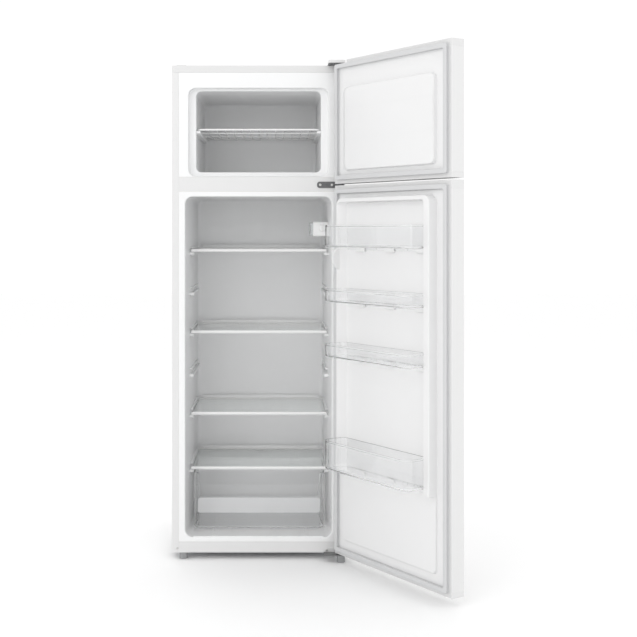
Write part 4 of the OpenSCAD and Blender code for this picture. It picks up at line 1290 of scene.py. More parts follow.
# ---------------------------------------------------------------- compressor niche
@dataclass
class CoolingUnit:
    """Compressor, its mountings, pipes and tray in the niche at the back."""

    pipe_bend: float = 14 * MM
    seam_height: float = 104.5 * MM
    shell_radius: float = 66 * MM
    foot_plate: float = 3.2 * MM
    foot_corner: float = 14 * MM

    def build(self) -> None:
        """Builds the compressor and the pipes, and dresses the rest."""
        dress("compressor_base", ZINC, 0.4 * MM)
        dress("compressor_grommets", RUBBER, 0.5 * MM)
        dress("start_relay_cover", BLACK_PLASTIC, 1.2 * MM, 3)
        dress("evaporation_tray", GREY_PLASTIC, 0.7 * MM)
        dress("filter_drier", COPPER, 0.5 * MM)
        dress("drain_tube", GREY_PLASTIC, 0.4 * MM)
        dress("cord_gland", RUBBER, 0.6 * MM)
        self._compressor()
        self._pipes()

    def _compressor(self) -> None:
        """Builds the two welded half shells and the foot plate."""
        low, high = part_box("compressor")
        middle = Vector(((low.x + high.x) / 2, (low.y + high.y) / 2, 0.0))
        floor, seam, top = low.z + 3 * MM, self.seam_height, high.z
        radius, half, lip = self.shell_radius, 3 * MM, 2.6 * MM
        down, rise = seam - half - floor, top - seam - half
        turns = [math.radians(a) for a in range(-84, 1, 7)]
        lower = [(0.0, floor)] + [(radius * math.cos(t), seam - half + down * math.sin(t)) for t in turns]
        rim = [(radius + lip, seam - 2.5 * MM), (radius + 4 * MM, seam - 1.6 * MM),
               (radius + 4 * MM, seam + 1.6 * MM), (radius + lip, seam + 2.5 * MM)]
        turns = [math.radians(a) for a in range(0, 85, 7)]
        upper = [(radius * math.cos(t), seam + half + rise * math.sin(t)) for t in turns]
        shape = Shape()
        shape.turned(lower + rim + upper + [(0.0, top)], middle, UP, 72)
        room = 0.2 * MM
        plate = rounded((low.x + room, high.x - room), (low.y + room, high.y - room), self.foot_corner)
        shape.prism(plate, (low.z, low.z + self.foot_plate), Axis.Z)
        shape.piece("compressor_shell", BLACK_ENAMEL, "cabinet", "compressor_black", ["compressor"])

    def _pipes(self) -> None:
        """Builds the copper pipes with smooth bends and brazed ends."""
        low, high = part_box("compressor")
        x, y = (low.x + high.x) / 2, (low.y + high.y) / 2
        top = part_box("compressor_pipes")[1].z
        drier_low, drier_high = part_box("filter_drier")
        dx, dy = (drier_low.x + drier_high.x) / 2, (drier_low.y + drier_high.y) / 2
        reach = 64 * MM
        runs = [
            ([(x + reach, y + 12 * MM, 84 * MM), (x + 110 * MM, y + 12 * MM, 84 * MM),
              (x + 110 * MM, y + 40 * MM, 84 * MM), (x + 110 * MM, y + 40 * MM, top)], 3 * MM),
            ([(x + reach, y - 14 * MM, 92 * MM), (x + 128 * MM, y - 14 * MM, 92 * MM),
              (x + 128 * MM, y - 14 * MM, top)], 4 * MM),
            ([(x + reach - 2 * MM, y - 30 * MM, 72 * MM), (x + 100 * MM, y - 30 * MM, 72 * MM),
              (x + 100 * MM, y - 30 * MM, 120 * MM)], 3 * MM),
            ([(dx, dy, drier_high.z), (dx, dy, top)], 2.5 * MM),
            ([(dx, dy, drier_low.z), (dx, dy, 66 * MM), (dx - 30 * MM, dy, 66 * MM),
              (dx - 30 * MM, dy, top)], 1.6 * MM),
        ]
        shape = Shape()
        for points, radius in runs:
            path = bent([Vector(p) for p in points], self.pipe_bend, 8)
            shape.tube(path, radius, 14)
            ahead = path[1] - path[0]
            shape.turned([(0.0, -1 * MM), (radius * 1.25, -1 * MM), (radius * 1.5, 2 * MM),
                          (radius * 1.1, 5 * MM), (0.0, 5 * MM)], path[0], ahead, 20)
        shape.piece("copper_pipes", COPPER, "cabinet", "copper_pipe", ["compressor_pipes"])


# ---------------------------------------------------------------- light and control
@dataclass
class LightAndControl:
    """Housing on the right wall with the lamp and the temperature knob."""

    shaft: tuple[Point, ...] = ((0.0, 0.0), (2.6, 0.0), (3.0, 0.6), (3.0, 12.4), (0.0, 12.4))
    skirt: tuple[Point, ...] = ((0.0, 12.4), (10.6, 12.4), (11.0, 12.9), (11.0, 14.0), (10.6, 14.5),
                                (0.0, 14.5))
    cap: tuple[Point, ...] = ((0.0, 14.4), (10.4, 14.4), (10.2, 17.6), (9.6, 18.8), (8.4, 19.4), (0.0, 19.6))
    settings: int = 6
    setting_turn: float = 44.0
    setting_radius: float = 13.6

    def build(self) -> None:
        """Dresses the housing, lens and board, and builds the knob."""
        dress("control_housing", GLOSS_WHITE, 1.2 * MM, 3)
        dress("lamp_lens", LENS, 0.9 * MM, 3)
        dress("lamp_board", BOARD, 0.2 * MM)
        self._knob()
        self._scale_marks()

    def _knob(self) -> None:
        """Builds the fluted knob with its grip bar and shaft."""
        low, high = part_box("thermostat_knob")
        at = Vector(((low.x + high.x) / 2, high.y, (low.z + high.z) / 2))
        out = Vector((0, -1, 0))
        shape = Shape()
        shape.turned(scaled(*self.shaft), at, out, 32)
        shape.turned(scaled(*self.skirt), at, out, 64)
        shape.turned(scaled(*self.cap), at, out, 72, 0.35 * MM)
        half, face, reach = 1.5 * MM, at.y - (high.y - low.y), 8.6 * MM
        shape.block((at.x - half, face, at.z - reach), (at.x + half, face + 4.4 * MM, at.z + reach), 0.7 * MM)
        shape.piece("temperature_knob", GLOSS_WHITE, "thermostat_knob", "white_plastic",
                    ["thermostat_knob"])

    def _scale_marks(self) -> None:
        """Builds raised dots round the knob that grow towards the coldest setting."""
        low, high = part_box("thermostat_knob")
        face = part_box("control_housing")[0].y
        middle = Vector(((low.x + high.x) / 2, face, (low.z + high.z) / 2))
        shape = Shape()
        for i in range(self.settings):
            turn = math.radians(200 - i * self.setting_turn)
            at = middle + Vector((math.cos(turn), 0, math.sin(turn))) * self.setting_radius * MM
            size = (0.45 + 0.13 * i) * MM
            shape.turned([(0.0, -0.5 * MM), (size, -0.5 * MM), (size, -0.05 * MM), (size * 0.7, 0.3 * MM),
                          (0.0, 0.3 * MM)], at + Vector((0, -0.05 * MM, 0)), Vector((0, -1, 0)), 16)
        shape.piece("setting_dots", GREY_PLASTIC, "cabinet", "grey_plastic")


# ---------------------------------------------------------------- shelves and crisper
@dataclass
class Shelves:
    """Glass shelves in white trims, and the wire shelf of the freezer."""

    names: tuple[str, ...] = ("upper_shelf", "middle_shelf", "lower_shelf", "crisper_cover")
    frame_wire: float = 3 * MM
    thin_wire: float = 1.5 * MM
    cross_wire: float = 2.2 * MM
    corner: float = 12 * MM
    wires: int = 13

    def build(self) -> None:
        """Dresses the glass shelves and builds the wire one."""
        for name in self.names:
            dress(f"{name}_glass", GLASS, 0.6 * MM)
            dress(f"{name}_trims", GLOSS_WHITE, 0.7 * MM, 3)
        self._wire_shelf()

    def _wire_shelf(self) -> None:
        """Builds the shelf from a bent frame wire and thin wires welded across it."""
        low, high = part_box("freezer_shelf")
        wire = self.frame_wire
        x = (low.x + wire, high.x - wire)
        y = (low.y + wire, high.y - wire)
        z = high.z - wire - 0.2 * MM
        shape = Shape()
        loop = [Vector((a, b, z)) for a, b in rounded(x, y, self.corner)]
        shape.tube(loop, wire, 14, ring=True)
        for k in (1, 2):
            depth = y[0] + k * (y[1] - y[0]) / 3
            shape.tube([Vector((x[0], depth, z - 1 * MM)), Vector((x[1], depth, z - 1 * MM))],
                       self.cross_wire, 12)
        for i in range(1, self.wires + 1):
            across = x[0] + i * (x[1] - x[0]) / (self.wires + 1)
            height = z + 1.2 * MM
            low_end, bend = height - 1.2 * MM, 4 * MM
            run = ((y[0] - 1 * MM, low_end), (y[0] + bend, height), (y[1] - bend, height),
                   (y[1] + 1 * MM, low_end))
            shape.tube([Vector((across, a, b)) for a, b in run], self.thin_wire, 10)
        shape.piece("wire_shelf", WIRE, "freezer_shelf", "white_wire", ["freezer_shelf"])


@dataclass
class Crisper:
    """Clear drawer with a low front, a rolled rim and a frosted grip."""

    wall: float = 2.4 * MM
    corner: float = 16 * MM
    foot: float = 9 * MM
    low_front: float = 178 * MM
    notch_inset: float = 12 * MM
    notch_radius: float = 4.5 * MM
    face: float = 2.4 * MM
    band: Point = (125 * MM, 173 * MM)
    band_inset: float = 14 * MM
    rim: tuple[Point, ...] = ((0.0, 3.2), (0.0, 3.0), (0.0, 0.6), (0.5, 0.1), (1.2, 0.0), (2.1, 0.1),
                              (2.4, 0.5))

    def _rim_height(self, x: float, y: float, front: float, top: float, half: float) -> float:
        """Returns how high the wall stands at a point of the plan.

        Args:
            x: Place across.
            y: Place in depth.
            front: Depth of the front wall.
            top: Height of the other walls.
            half: Half the drawer's width.

        Returns:
            The height, lower along the front with soft ends.
        """
        if y > front + self.corner * 0.5:
            return top
        edge = half - self.notch_inset
        share = min(1.0, max(0.0, (edge - abs(x)) / (2 * self.notch_radius)))
        smooth = share * share * (3 - 2 * share)
        return top - (top - self.low_front) * smooth

    def build(self) -> None:
        """Builds the drawer and its grip."""
        low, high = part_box("crisper_drawer")
        x, y = (low.x, high.x), (low.y + self.face, high.y)
        bottom, foot, wall = low.z, self.foot, self.wall
        inner, inside = foot - wall * 0.4, bottom + wall
        plan = self._dense(rounded(x, y, self.corner, 8))
        rings = [self._ring(plan, x, y, foot * (1 - s), bottom + foot * c) for s, c in quarter(18)]
        rings += [self._rim_ring(plan, x, y, inset, drop, high.z) for inset, drop in scaled(*self.rim)]
        rings += [self._ring(plan, x, y, wall + inner * (1 - s), inside + inner * c)
                  for s, c in reversed(quarter(18))]
        shape = Shape().loft(rings)
        shape.piece("clear_drawer", CLEAR, "crisper_drawer", "clear_plastic", ["crisper_drawer"])
        self._grip(x, y[0])

    @staticmethod
    def _dense(plan: list[Point], reach: float = 4 * MM) -> list[Point]:
        """Adds points along the straight stretches of a plan.

        Args:
            plan: Its points.
            reach: About how far apart they come to stand.

        Returns:
            All points, in order.
        """
        points: list[Point] = []
        for (ax, ay), (bx, by) in zip(plan, plan[1:] + plan[:1]):
            count = max(1, round(math.hypot(bx - ax, by - ay) / reach))
            points += [(ax + (bx - ax) * i / count, ay + (by - ay) * i / count) for i in range(count)]
        return points

    @staticmethod
    def _inset(point: Point, x: Point, y: Point, inset: float) -> Point:
        """Moves a point of the plan towards the middle on both axes.

        Args:
            point: The point.
            x: The plan's span across.
            y: The plan's span in depth.
            inset: How far its edge moves.

        Returns:
            The moved point.
        """
        middle = ((x[0] + x[1]) / 2, (y[0] + y[1]) / 2)
        half = ((x[1] - x[0]) / 2, (y[1] - y[0]) / 2)
        return (middle[0] + (point[0] - middle[0]) * (half[0] - inset) / half[0],
                middle[1] + (point[1] - middle[1]) * (half[1] - inset) / half[1])

    def _ring(self, plan: list[Point], x: Point, y: Point, inset: float, z: float) -> Ring:
        """Returns a level ring of the wall."""
        return [Vector((*self._inset(p, x, y, inset), z)) for p in plan]

    def _rim_ring(
        self, plan: list[Point], x: Point, y: Point, inset: float, drop: float, top: float
    ) -> Ring:
        """Returns a ring that follows the rim.

        Args:
            plan: Points of the plan.
            x: The plan's span across.
            y: The plan's span in depth.
            inset: Distance from the outer wall.
            drop: Distance below the rim.
            top: Height of the rim.

        Returns:
            The ring.
        """
        ring = []
        for point in plan:
            height = self._rim_height(point[0], point[1], y[0], top, x[1])
            ring.append(Vector((*self._inset(point, x, y, inset), height - drop)))
        return ring

    def _grip(self, x: Point, front: float) -> None:
        """Builds the frosted grip panel across the front.

        Args:
            x: The drawer's span across.
            front: Depth of its front wall.
        """
        panel = rounded((x[0] + self.band_inset, x[1] - self.band_inset), self.band, 7 * MM)
        shape = Shape().prism(panel, (front - 2.2 * MM, front - 0.3 * MM), Axis.Y, 0.6 * MM, 3)
        shape.piece("drawer_grip", FROSTED, "crisper_drawer", "clear_plastic")


# ---------------------------------------------------------------- doors
BIN_FLOORS = (986 * MM, 820 * MM, 653 * MM, 312 * MM)


class DoorPose:
    """Where a door stands at rest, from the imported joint."""

    def __init__(self, joint_name: str) -> None:
        """Reads the hinge axis and the open angle of a joint.

        Args:
            joint_name: Name of the joint.
        """
        joint = next(j for j in frame["joints"] if j["name"] == joint_name)
        axis = Vector((joint["pos_m"][0], joint["pos_m"][1], 0.0))
        turn = Matrix.Rotation(math.radians(-joint["range_deg"][0]), 4, "Z")
        self.axis = axis
        self.matrix = Matrix.Translation(axis) @ turn @ Matrix.Translation(-axis)

    def point(self, u: float, w: float, z: float) -> Vector:
        """Returns a point of the closed door.

        Args:
            u: Distance from the hinge axis towards the free edge.
            w: Distance from the inner face towards the cabinet.
            z: Height.

        Returns:
            The point before the door is turned.
        """
        return Vector((self.axis.x - u, DOOR_FACE + w, z))


@dataclass
class Door:
    """What both doors share: skin, caps, foam, bushes and the magnetic gasket."""

    body: str
    span: Point
    sheet_z: Point
    pose: DoorPose = field(init=False)
    half: float = 272.5 * MM
    gasket_in: float = 11.5 * MM
    gasket_width: float = 14 * MM
    gasket_height: float = 11.5 * MM
    gasket_corner: float = 7.0
    sheet_u: Point = (-14 * MM + 12.3 * MM, 531 * MM - 12.3 * MM)
    skin: float = 2.2 * MM

    def __post_init__(self) -> None:
        """Finds where the door stands."""
        self.pose = DoorPose(f"{self.body}_hinge")

    def build_common(self) -> None:
        """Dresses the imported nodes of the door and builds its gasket."""
        dress(f"{self.body}_skin", ENAMEL, 0.25 * MM)
        dress(f"{self.body}_caps", SATIN_WHITE, 0.7 * MM)
        dress(f"{self.body}_bushes", GREY_PLASTIC, 0.4 * MM)
        self._gasket()

    def _gasket(self) -> None:
        """Builds the bellows gasket with its magnet pocket, as one ring."""
        width, high = self.gasket_width / MM, self.gasket_height / MM
        profile = [(0.0, 0.2), (0.3, 0.0), (width - 0.3, 0.0), (width, 0.2), (width - 0.2, 1.2),
                   (width - 3.0, 2.2), (width - 2.2, 3.4), (width - 3.6, 4.6), (width - 2.4, 5.8),
                   (width - 3.4, 7.0), (width - 1.2, 7.6), (width - 0.4, 8.4), (width - 0.4, high - 1.2),
                   (width - 1.2, high - 0.2), (width / 2, high), (1.2, high - 0.2), (0.4, high - 1.2),
                   (0.4, 8.4), (1.2, 7.6), (3.4, 7.0), (2.4, 5.8), (3.6, 4.6), (2.2, 3.4), (3.0, 2.2),
                   (0.2, 1.2)]
        rings = []
        for inset, rise in profile:
            grow = self.gasket_in + inset * MM
            corner = max(self.gasket_corner - inset * 0.25, 2.0) * MM
            outline = rounded((-self.half + grow, self.half - grow),
                              (self.span[0] + grow, self.span[1] - grow), corner, 4)
            rings.append([Vector((a, DOOR_FACE + rise * MM, b)) for a, b in outline])
        shape = Shape().loft(rings, wrap=True).placed(self.pose.matrix)
        shape.piece(f"{self.body}_seal", GASKET, self.body, "gasket_rubber", [f"{self.body}_gasket"])

    def foam_core(self, fields: Sequence[tuple[Point, Point, float]]) -> None:
        """Builds the foam that fills the door between its skin and its inner sheet.

        Args:
            fields: Spans in u and z and height of each raised part of the core.
        """
        z = (self.sheet_z[0] + 1 * MM, self.sheet_z[1] - 1 * MM)
        depth = (DOOR_FACE - 43.8 * MM, DOOR_FACE - 2.6 * MM)
        outline = rounded((self.skin - self.half, self.half - self.skin), depth, 14 * MM)
        core = Shape().prism(outline, z, Axis.Z, 1 * MM)
        for u, height, rise in fields:
            near, far = self.pose.point(u[1], -4 * MM, height[0]), self.pose.point(u[0], rise, height[1])
            core.block(near, far, 1 * MM)
        core.placed(self.pose.matrix)
        core.piece(f"{self.body}_core", FOAM, self.body, "insulating_foam", [f"{self.body}_foam"])

    def sheet_ring(self, u: Point, z: Point, radius: float, w: float) -> Ring:
        """Returns a rounded ring of the inner sheet.

        Args:
            u: Its span from the hinge axis.
            z: Its span in height.
            radius: Corner radius.
            w: Its height over the inner face.

        Returns:
            The ring's points before the door is turned.
        """
        return [self.pose.point(a, w, b) for a, b in rounded(u, z, radius)]

    def base_sheet(self) -> Shape:
        """Starts the inner sheet with its flat ground and thin edge.

        Returns:
            The shape, to which the raised parts are added.
        """
        u, z, soft, corner = self.sheet_u, self.sheet_z, 0.4 * MM, 1 * MM
        rings = [self.sheet_ring(u, z, corner, w * MM) for w in (-2.0, -0.4)]
        rings.append(self.sheet_ring((u[0] + soft, u[1] - soft), (z[0] + soft, z[1] - soft), corner, 0.0))
        return Shape().loft(rings)

    def raised_panel(
        self,
        shape: Shape,
        foot: tuple[Point, Point],
        head: tuple[Point, Point],
        rise: float,
        radius: float,
        soft: float = 3 * MM,
    ) -> None:
        """Adds a raised field with soft edges to the inner sheet.

        Args:
            shape: The shape that it is added to.
            foot: Spans in u and z of its foot.
            head: Spans in u and z of its upper edge.
            rise: Its height.
            radius: Its corner radius.
            soft: Radius of its upper edge.
        """
        rings = [self.sheet_ring(*foot, radius, -1.5 * MM)]
        soft = min(soft, rise * 0.45)
        flare, dip = 2.2 * MM, 0.8
        u, z = foot
        for t, w in ((0.0, 0.0), (0.5, 0.15), (0.85, 0.5), (1.0, 1.0)):
            grow = flare * (1 - t)
            rings.append(self.sheet_ring((u[0] - grow, u[1] + grow), (z[0] - grow, z[1] + grow),
                                         radius + grow, flare * w * dip))
        share = (flare * dip) / rise * 0.5
        spans = [(f[0] + (h[0] - f[0]) * share, f[1] + (h[1] - f[1]) * share) for f, h in zip(foot, head)]
        rings.append(self.sheet_ring(*spans, radius, flare * 0.9))
        for s, c in quarter(18):
            spans = [(h[0] + soft * c, h[1] - soft * c) for h in head]
            rings.append(self.sheet_ring(*spans, radius, rise - soft * (1 - s)))
        shape.add(Shape().loft(rings))

    def vent_plugs(self, name: str, spots: Sequence[Point]) -> None:
        """Builds the small round plugs of the foaming holes in the inner sheet.

        Args:
            name: Name of the piece.
            spots: Place of each in u and z.
        """
        profile = scaled((0.0, 0.0), (2.4, 0.0), (2.4, 0.5), (1.8, 0.8), (1.2, 0.5), (0.0, 0.5))
        shape = Shape()
        for u, z in spots:
            shape.turned(profile, self.pose.point(u, -0.3 * MM, z), Vector((0, 1, 0)), 20)
        shape.placed(self.pose.matrix)
        shape.piece(name, GREY_PLASTIC, self.body, "grey_plastic")


@dataclass
class FreezerDoor(Door):
    """Freezer door with one raised field on its inner sheet."""

    rise: float = 11.5 * MM
    field_foot: tuple[Point, Point] = ((33 * MM, 471 * MM), (1222 * MM, 1477 * MM))
    field_head: tuple[Point, Point] = ((52 * MM, 468 * MM), (1222.8 * MM, 1476.2 * MM))
    field_corner: float = 18 * MM
    core_field: tuple[Point, Point] = ((64 * MM, 456 * MM), (1234 * MM, 1464 * MM))
    plugs: tuple[Point, ...] = ((500 * MM, 1526 * MM),)
    creases: tuple[float, ...] = (1317 * MM, 1412 * MM)
    crease_half: float = 1.6 * MM
    crease_depth: float = 0.8 * MM

    def build(self) -> None:
        """Builds the inner sheet, its raised field and the plugs."""
        self.build_common()
        shape = self.base_sheet()
        self.raised_panel(shape, self.field_foot, self.field_head, self.rise, self.field_corner)
        self._crease(shape)
        shape.placed(self.pose.matrix)
        shape.piece("freezer_door_inner_sheet", DOOR_LINER, self.body, "liner_plastic",
                    ["freezer_door_liner"])
        self.vent_plugs("freezer_door_plugs", self.plugs)
        self.foam_core([(*self.core_field, self.rise - 3.5 * MM)])

    def _crease(self, shape: Shape) -> None:
        """Presses the shallow grooves into the raised field.

        Args:
            shape: The inner sheet.
        """
        top = DOOR_FACE + self.rise - 0.05 * MM
        for z in self.creases:
            for height in (z - self.crease_half, z, z + self.crease_half):
                faces = [f for f in shape.bm.faces if min(v.co.y for v in f.verts) > top]
                edges = {e for f in faces for e in f.edges}
                verts = {v for f in faces for v in f.verts}
                bmesh.ops.bisect_plane(shape.bm, geom=[*verts, *edges, *faces], dist=0.01 * MM,
                                       plane_co=(0, 0, height), plane_no=(0, 0, 1))
            for vert in shape.bm.verts:
                if vert.co.y > top and abs(vert.co.z - z) < 0.1 * MM:
                    vert.co.y -= self.crease_depth


@dataclass
class FridgeDoor(Door):
    """Fridge door with the raised frame round its bins and a low field below."""

    rise: float = 27.5 * MM
    frame_z: Point = (296 * MM, 1136 * MM)
    low_foot: tuple[Point, Point] = ((34 * MM, 471 * MM), (80 * MM, 303 * MM))
    low_head: tuple[Point, Point] = ((34.7 * MM, 470.3 * MM), (80.7 * MM, 302.3 * MM))
    low_rise: float = 6 * MM
    low_corner: float = 14 * MM
    plugs: tuple[Point, ...] = ((8 * MM, 62 * MM), (500 * MM, 62 * MM), (500 * MM, 1120 * MM))
    window_top: float = 1123.5 * MM
    window_rise: float = 4 * MM
    ear_height: float = 950 * MM
    ear_radius: float = 36 * MM
    hook_spots: tuple[float, ...] = (-155 * MM, -15 * MM, 125 * MM)
    hook_width: float = 40 * MM
    hook: tuple[Point, ...] = ((3.5, -14), (11, -14), (12.5, -12), (12.5, -2.4), (11.6, -1.5), (9.3, -2.4),
                               (9.1, -9.7), (3.5, -9.7))

    def _arch(self, u: Point, top: float, radius: float, w: float) -> Ring:
        """Runs up one side of the frame, across its top and down the other.

        Args:
            u: Its span from the hinge axis.
            top: Height of its top.
            radius: Radius of its upper corners.
            w: Its height over the inner face.

        Returns:
            The open ring.
        """
        low = self.frame_z[0]
        right = arc((u[1] - radius, top - radius), radius, 0, 90, 8)
        left = arc((u[0] + radius, top - radius), radius, 90, 180, 8)
        return [self.pose.point(a, w, b) for a, b in [(u[1], low)] + right + left + [(u[0], low)]]

    def build(self) -> None:
        """Builds the inner sheet with its frame, field, ear and hooks."""
        self.build_common()
        shape = self.base_sheet()
        self._frame(shape)
        self.raised_panel(shape, self.low_foot, self.low_head, self.low_rise, self.low_corner)
        self._ear(shape)
        self._hooks(shape)
        shape.placed(self.pose.matrix)
        shape.piece("fridge_door_inner_sheet", DOOR_LINER, self.body, "liner_plastic",
                    ["fridge_door_liner"])
        self.vent_plugs("fridge_door_plugs", self.plugs)
        sides = (self.frame_z[0] + 4 * MM, self.frame_z[1] - 26 * MM)
        fields = [((449 * MM, 461 * MM), sides, self.rise - 4 * MM),
                  ((60 * MM, 440 * MM), sides, self.window_rise - 2.5 * MM)]
        self.foam_core(fields)

    def _frame(self, shape: Shape) -> None:
        """Adds the raised frame, open at its foot, and the field between its sides.

        Args:
            shape: The inner sheet.
        """
        top, head = self.frame_z[1], self.rise
        soft, lip = 3 * MM, 1.4 * MM
        # Span in u, reach over the top, corner radius and height, in millimetres.
        rows = [((22, 473), 2, 27, 0.0), ((24, 471), 0, 25, 1.0), ((29, 468.4), -0.4, 24, 12.0),
                ((29.8, 466.6), -0.8, 24, head / MM - 3)]
        strips = [self._arch((u[0] * MM, u[1] * MM), top + t * MM, r * MM, w * MM) for u, t, r, w in rows]
        for s, c in quarter(30)[1:]:
            run, w = soft * c, head - soft * (1 - s)
            strips.append(self._arch((29.5 * MM + run, 466.4 * MM - run), top - 0.8 * MM - run, 24 * MM, w))
        inner_u, inner_top = (36.5 * MM, 444 * MM), self.window_top + 1 * MM
        for s, c in quarter(30):
            run, w = lip * s, head - lip * c
            strips.append(self._arch((inner_u[0] + run * 1.6, inner_u[1] - run), inner_top - run, 10 * MM, w))
        floor_u = (55 * MM, 443 * MM)
        for share in (0.0, 0.5, 0.85, 1.0):
            w = self.window_rise + 2.2 * MM * (1 - share) ** 2
            run = 2.4 * MM * share
            strips.append(self._arch((floor_u[0] - 2.4 * MM + run, floor_u[1] - run + 1 * MM),
                                     self.window_top - 1 * MM - run, 9 * MM, w))
        shape.add(Shape().loft(strips, closed=False, caps=(False, False)))
        ends = Shape()
        for side in (0, -1):
            profile = [strip[side] for strip in strips]
            verts = [ends.bm.verts.new(p) for p in profile]
            base = [ends.bm.verts.new(Vector((profile[k].x, DOOR_FACE - 1 * MM, profile[k].z)))
                    for k in (-1, 0)]
            ends.bm.faces.new(verts + base)
        shape.add(ends)
        near, far, high = floor_u[0], floor_u[1] - 1 * MM, self.window_top - 3 * MM
        corners = ((near, self.frame_z[0]), (far, self.frame_z[0]), (far, high), (near, high))
        plate = [self.pose.point(a, self.window_rise, b) for a, b in corners]
        low = [Vector((p.x, p.y - self.window_rise - 1 * MM, p.z)) for p in plate]
        shape.add(Shape().loft([low, plate]))

    def _ear(self, shape: Shape) -> None:
        """Adds the round ear on the hinge side of the frame.

        Args:
            shape: The inner sheet.
        """
        centre = self.pose.point(34 * MM, 13 * MM, self.ear_height)
        radius = self.ear_radius
        profile = [(0.0, 0.0), (radius - 1.6 * MM, 0.0), (radius - 0.5 * MM, 0.5 * MM),
                   (radius, 1.6 * MM), (radius, 6.0 * MM), (radius - 0.6 * MM, 7.4 * MM),
                   (radius - 2 * MM, 8.0 * MM), (0.0, 8.0 * MM)]
        own = Shape().turned(profile, centre, Vector((-1, 0, 0)), 72)
        geom = [*own.bm.verts, *own.bm.edges, *own.bm.faces]
        cut = bmesh.ops.bisect_plane(own.bm, geom=geom, dist=0.01 * MM, clear_inner=True,
                                     plane_co=(0, DOOR_FACE + self.window_rise, 0), plane_no=(0, 1, 0))
        rim = [g for g in cut["geom_cut"] if isinstance(g, bmesh.types.BMEdge)]
        bmesh.ops.holes_fill(own.bm, edges=rim)
        shape.add(own)

    def _hooks(self, shape: Shape) -> None:
        """Adds the hooks that hold the bins.

        Args:
            shape: The inner sheet.
        """
        half = self.hook_width / 2
        for floor in BIN_FLOORS:
            outline = [(DOOR_FACE + w, floor + z) for w, z in scaled(*self.hook)]
            for x in self.hook_spots:
                shape.prism(outline, (x - half, x + half), Axis.X, 0.6 * MM)


@dataclass
class DoorBins:
    """The four clear bins that hook on the fridge door."""

    pose: DoorPose
    heights: tuple[float, ...] = (67 * MM, 39 * MM, 40 * MM, 88 * MM)
    u: Point = (46 * MM, 443 * MM)
    w: Point = (6.2 * MM, 92 * MM)
    wall: float = 2.4 * MM
    foot: float = 7 * MM
    front_radius: float = 26 * MM
    back_cut: float = 14 * MM
    skirt: float = 9 * MM
    ribs: tuple[float, ...] = (0.2, 0.4, 0.6, 0.8)
    rim: tuple[Point, ...] = ((0.0, 5.0), (0.0, 0.9), (0.4, 0.2), (1.1, 0.0), (3.2, 0.0), (3.8, 0.3),
                              (4.0, 0.9), (3.9, 3.6), (3.2, 4.6), (2.4, 5.4))

    def _plan(self, inset: float, z: float) -> Ring:
        """Returns the bin's outline at a height.

        Args:
            inset: Distance from its outer wall.
            z: The height.

        Returns:
            The outline.
        """
        u = (self.u[0] + inset, self.u[1] - inset)
        w = (self.w[0] + inset, self.w[1] - inset)
        radius = max(self.front_radius - inset * 0.6, 4 * MM)
        cut = self.back_cut
        points = arc((u[1] - radius, w[1] - radius), radius, 0, 90, 10)
        points += arc((u[0] + radius, w[1] - radius), radius, 90, 180, 10)
        points += self._rounded_cut((u[0], w[0] + cut), (u[0] + cut, w[0]), 5 * MM)
        points += self._rounded_cut((u[1] - cut, w[0]), (u[1], w[0] + cut), 5 * MM)
        return [self.pose.point(a, b, z) for a, b in points]

    @staticmethod
    def _rounded_cut(start: Point, end: Point, soft: float) -> list[Point]:
        """Softens the two bends of a slanted corner.

        Args:
            start: First end of the slant.
            end: Last end of the slant.
            soft: Size of the bends.

        Returns:
            The four points of the corner.
        """
        run = (end[0] - start[0], end[1] - start[1])
        length = math.hypot(*run)
        ahead = (run[0] / length * soft * 0.4, run[1] / length * soft * 0.4)
        if run[0] > 0 > run[1]:
            first, last = (start[0], start[1] + soft * 0.5), (end[0] + soft * 0.5, end[1])
        else:
            first, last = (start[0] - soft * 0.5, start[1]), (end[0], end[1] + soft * 0.5)
        return [first, (start[0] + ahead[0], start[1] + ahead[1]),
                (end[0] - ahead[0], end[1] - ahead[1]), last]

    def build(self) -> None:
        """Builds each bin in its own body."""
        for number, (floor, height) in enumerate(zip(BIN_FLOORS, self.heights), start=1):
            self._bin(number, floor, height)

    def _bin(self, number: int, floor: float, height: float) -> None:
        """Builds one bin with a softened foot, a thick rim and its back skirt.

        Args:
            number: Its number from the top.
            floor: Height of its underside.
            height: Height of its walls.
        """
        foot, wall, top = self.foot, self.wall, floor + height
        inner, inside = foot - 1 * MM, floor + wall
        rings = [self._plan(foot * (1 - s), floor + foot * c) for s, c in quarter(18)]
        rings += [self._plan(inset, top - drop) for inset, drop in scaled(*self.rim)]
        rings += [self._plan(wall + inner * (1 - s), inside + inner * c) for s, c in reversed(quarter(18))]
        shape = Shape().loft(rings)
        left, right = self.pose.axis.x - self.u[1] + 20 * MM, self.pose.axis.x - self.u[0] - 20 * MM
        face, low = DOOR_FACE + self.w[0], floor - self.skirt
        shape.block((left, face, low), (right, face + 2.2 * MM, floor + 2 * MM), 0.6 * MM)
        half = 0.8 * MM
        for share in self.ribs:
            x = left + (right - left) * share
            foot_end = (x - half, face + 1.8 * MM, low + 2 * MM)
            head_end = (x + half, face + 3 * MM, floor + 1 * MM)
            shape.block(foot_end, head_end, 0.3 * MM)
        shape.placed(self.pose.matrix)
        shape.piece(f"clear_bin_{number}", CLEAR, f"bin_{number}", "clear_plastic", [f"door_bin_{number}"])


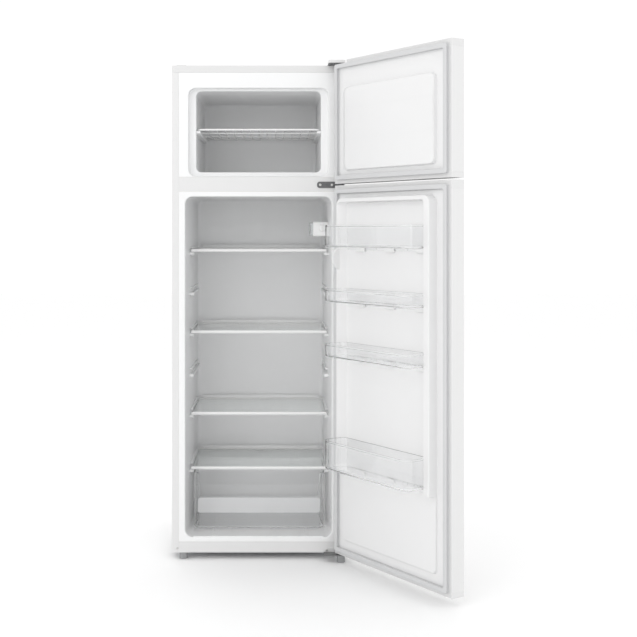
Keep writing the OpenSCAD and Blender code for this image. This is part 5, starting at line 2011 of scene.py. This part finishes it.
# ---------------------------------------------------------------- studio
@dataclass
class Studio:
    """Pale floor, soft light and the camera."""

    camera_at: Spot = (0.0526, -3.89, 1.036)
    lens: float = 65.3
    shift: Point = (0.068, -0.138)
    sky: float = 1.03
    floor_size: float = 30.0
    floor_tone: float = 0.97
    lamps: tuple[tuple[str, Spot, Spot, float, float], ...] = (
        ("front_soft_box", (-1.6, -3.6, 2.6), (0.0, -0.2, 0.8), 2.4, 20.0),
        ("side_soft_box", (2.9, -2.4, 1.8), (0.2, -0.3, 0.9), 1.8, 7.0),
        ("back_soft_box", (-1.2, 3.2, 2.4), (0.0, 0.2, 0.8), 2.4, 14.0),
    )

    def build(self) -> None:
        """Sets up everything that isn't part of the object."""
        self._camera()
        self._floor()
        self._lights()

    def _camera(self) -> None:
        """Makes the level camera in front of the cabinet."""
        data = bpy.data.cameras.new("studio_camera")
        data.lens = self.lens
        data.sensor_width = 36.0
        data.shift_x, data.shift_y = self.shift
        camera = bpy.data.objects.new("studio_camera", data)
        camera.location = self.camera_at
        camera.rotation_euler = (math.pi / 2, 0, 0)
        bpy.context.scene.collection.objects.link(camera)
        bpy.context.scene.camera = camera

    def _floor(self) -> None:
        """Makes the pale floor."""
        half = self.floor_size / 2
        mesh = bpy.data.meshes.new("studio_floor")
        corners = [(-half, -half, 0), (half, -half, 0), (half, half, 0), (-half, half, 0)]
        mesh.from_pydata(corners, [], [(0, 1, 2, 3)])
        floor = bpy.data.objects.new("studio_floor", mesh)
        bpy.context.scene.collection.objects.link(floor)
        paint = bpy.data.materials.new("floor_paint")
        paint.use_nodes = True
        shader = paint.node_tree.nodes["Principled BSDF"]
        fill(shader, {"Base Color": (*[self.floor_tone] * 3, 1), "Roughness": 0.9})
        mesh.materials.append(paint)

    def _lights(self) -> None:
        """Makes the white surroundings and the soft lamps."""
        world = bpy.data.worlds.new("studio_surroundings")
        world.use_nodes = True
        sky = world.node_tree.nodes["Background"]
        fill(sky, {"Color": (1, 1, 1, 1), "Strength": self.sky})
        bpy.context.scene.world = world
        bpy.context.scene.view_settings.view_transform = "Standard"
        for name, at, aim, size, power in self.lamps:
            data = bpy.data.lights.new(name, "AREA")
            data.shape = "SQUARE"
            data.size = size
            data.energy = power
            lamp = bpy.data.objects.new(name, data)
            lamp.location = at
            lamp.rotation_euler = (Vector(aim) - Vector(at)).to_track_quat("-Z", "Y").to_euler()
            bpy.context.scene.collection.objects.link(lamp)


def main() -> None:
    """Builds the studio and every sub-assembly."""
    logging.basicConfig(level=logging.INFO, format="%(name)s: %(message)s")
    Studio().build()
    CabinetShell().build()
    FreezerCompartment().build()
    FridgeCompartment().build()
    Hardware().build()
    CoolingUnit().build()
    LightAndControl().build()
    Shelves().build()
    Crisper().build()
    FreezerDoor("freezer_door", (1182 * MM, 1564.5 * MM), (1198.3 * MM, 1544.2 * MM)).build()
    fridge_door = FridgeDoor("fridge_door", (27.5 * MM, 1176.5 * MM), (43.8 * MM, 1150.2 * MM))
    fridge_door.build()
    DoorBins(fridge_door.pose).build()


if __name__ == "__main__":
    main()
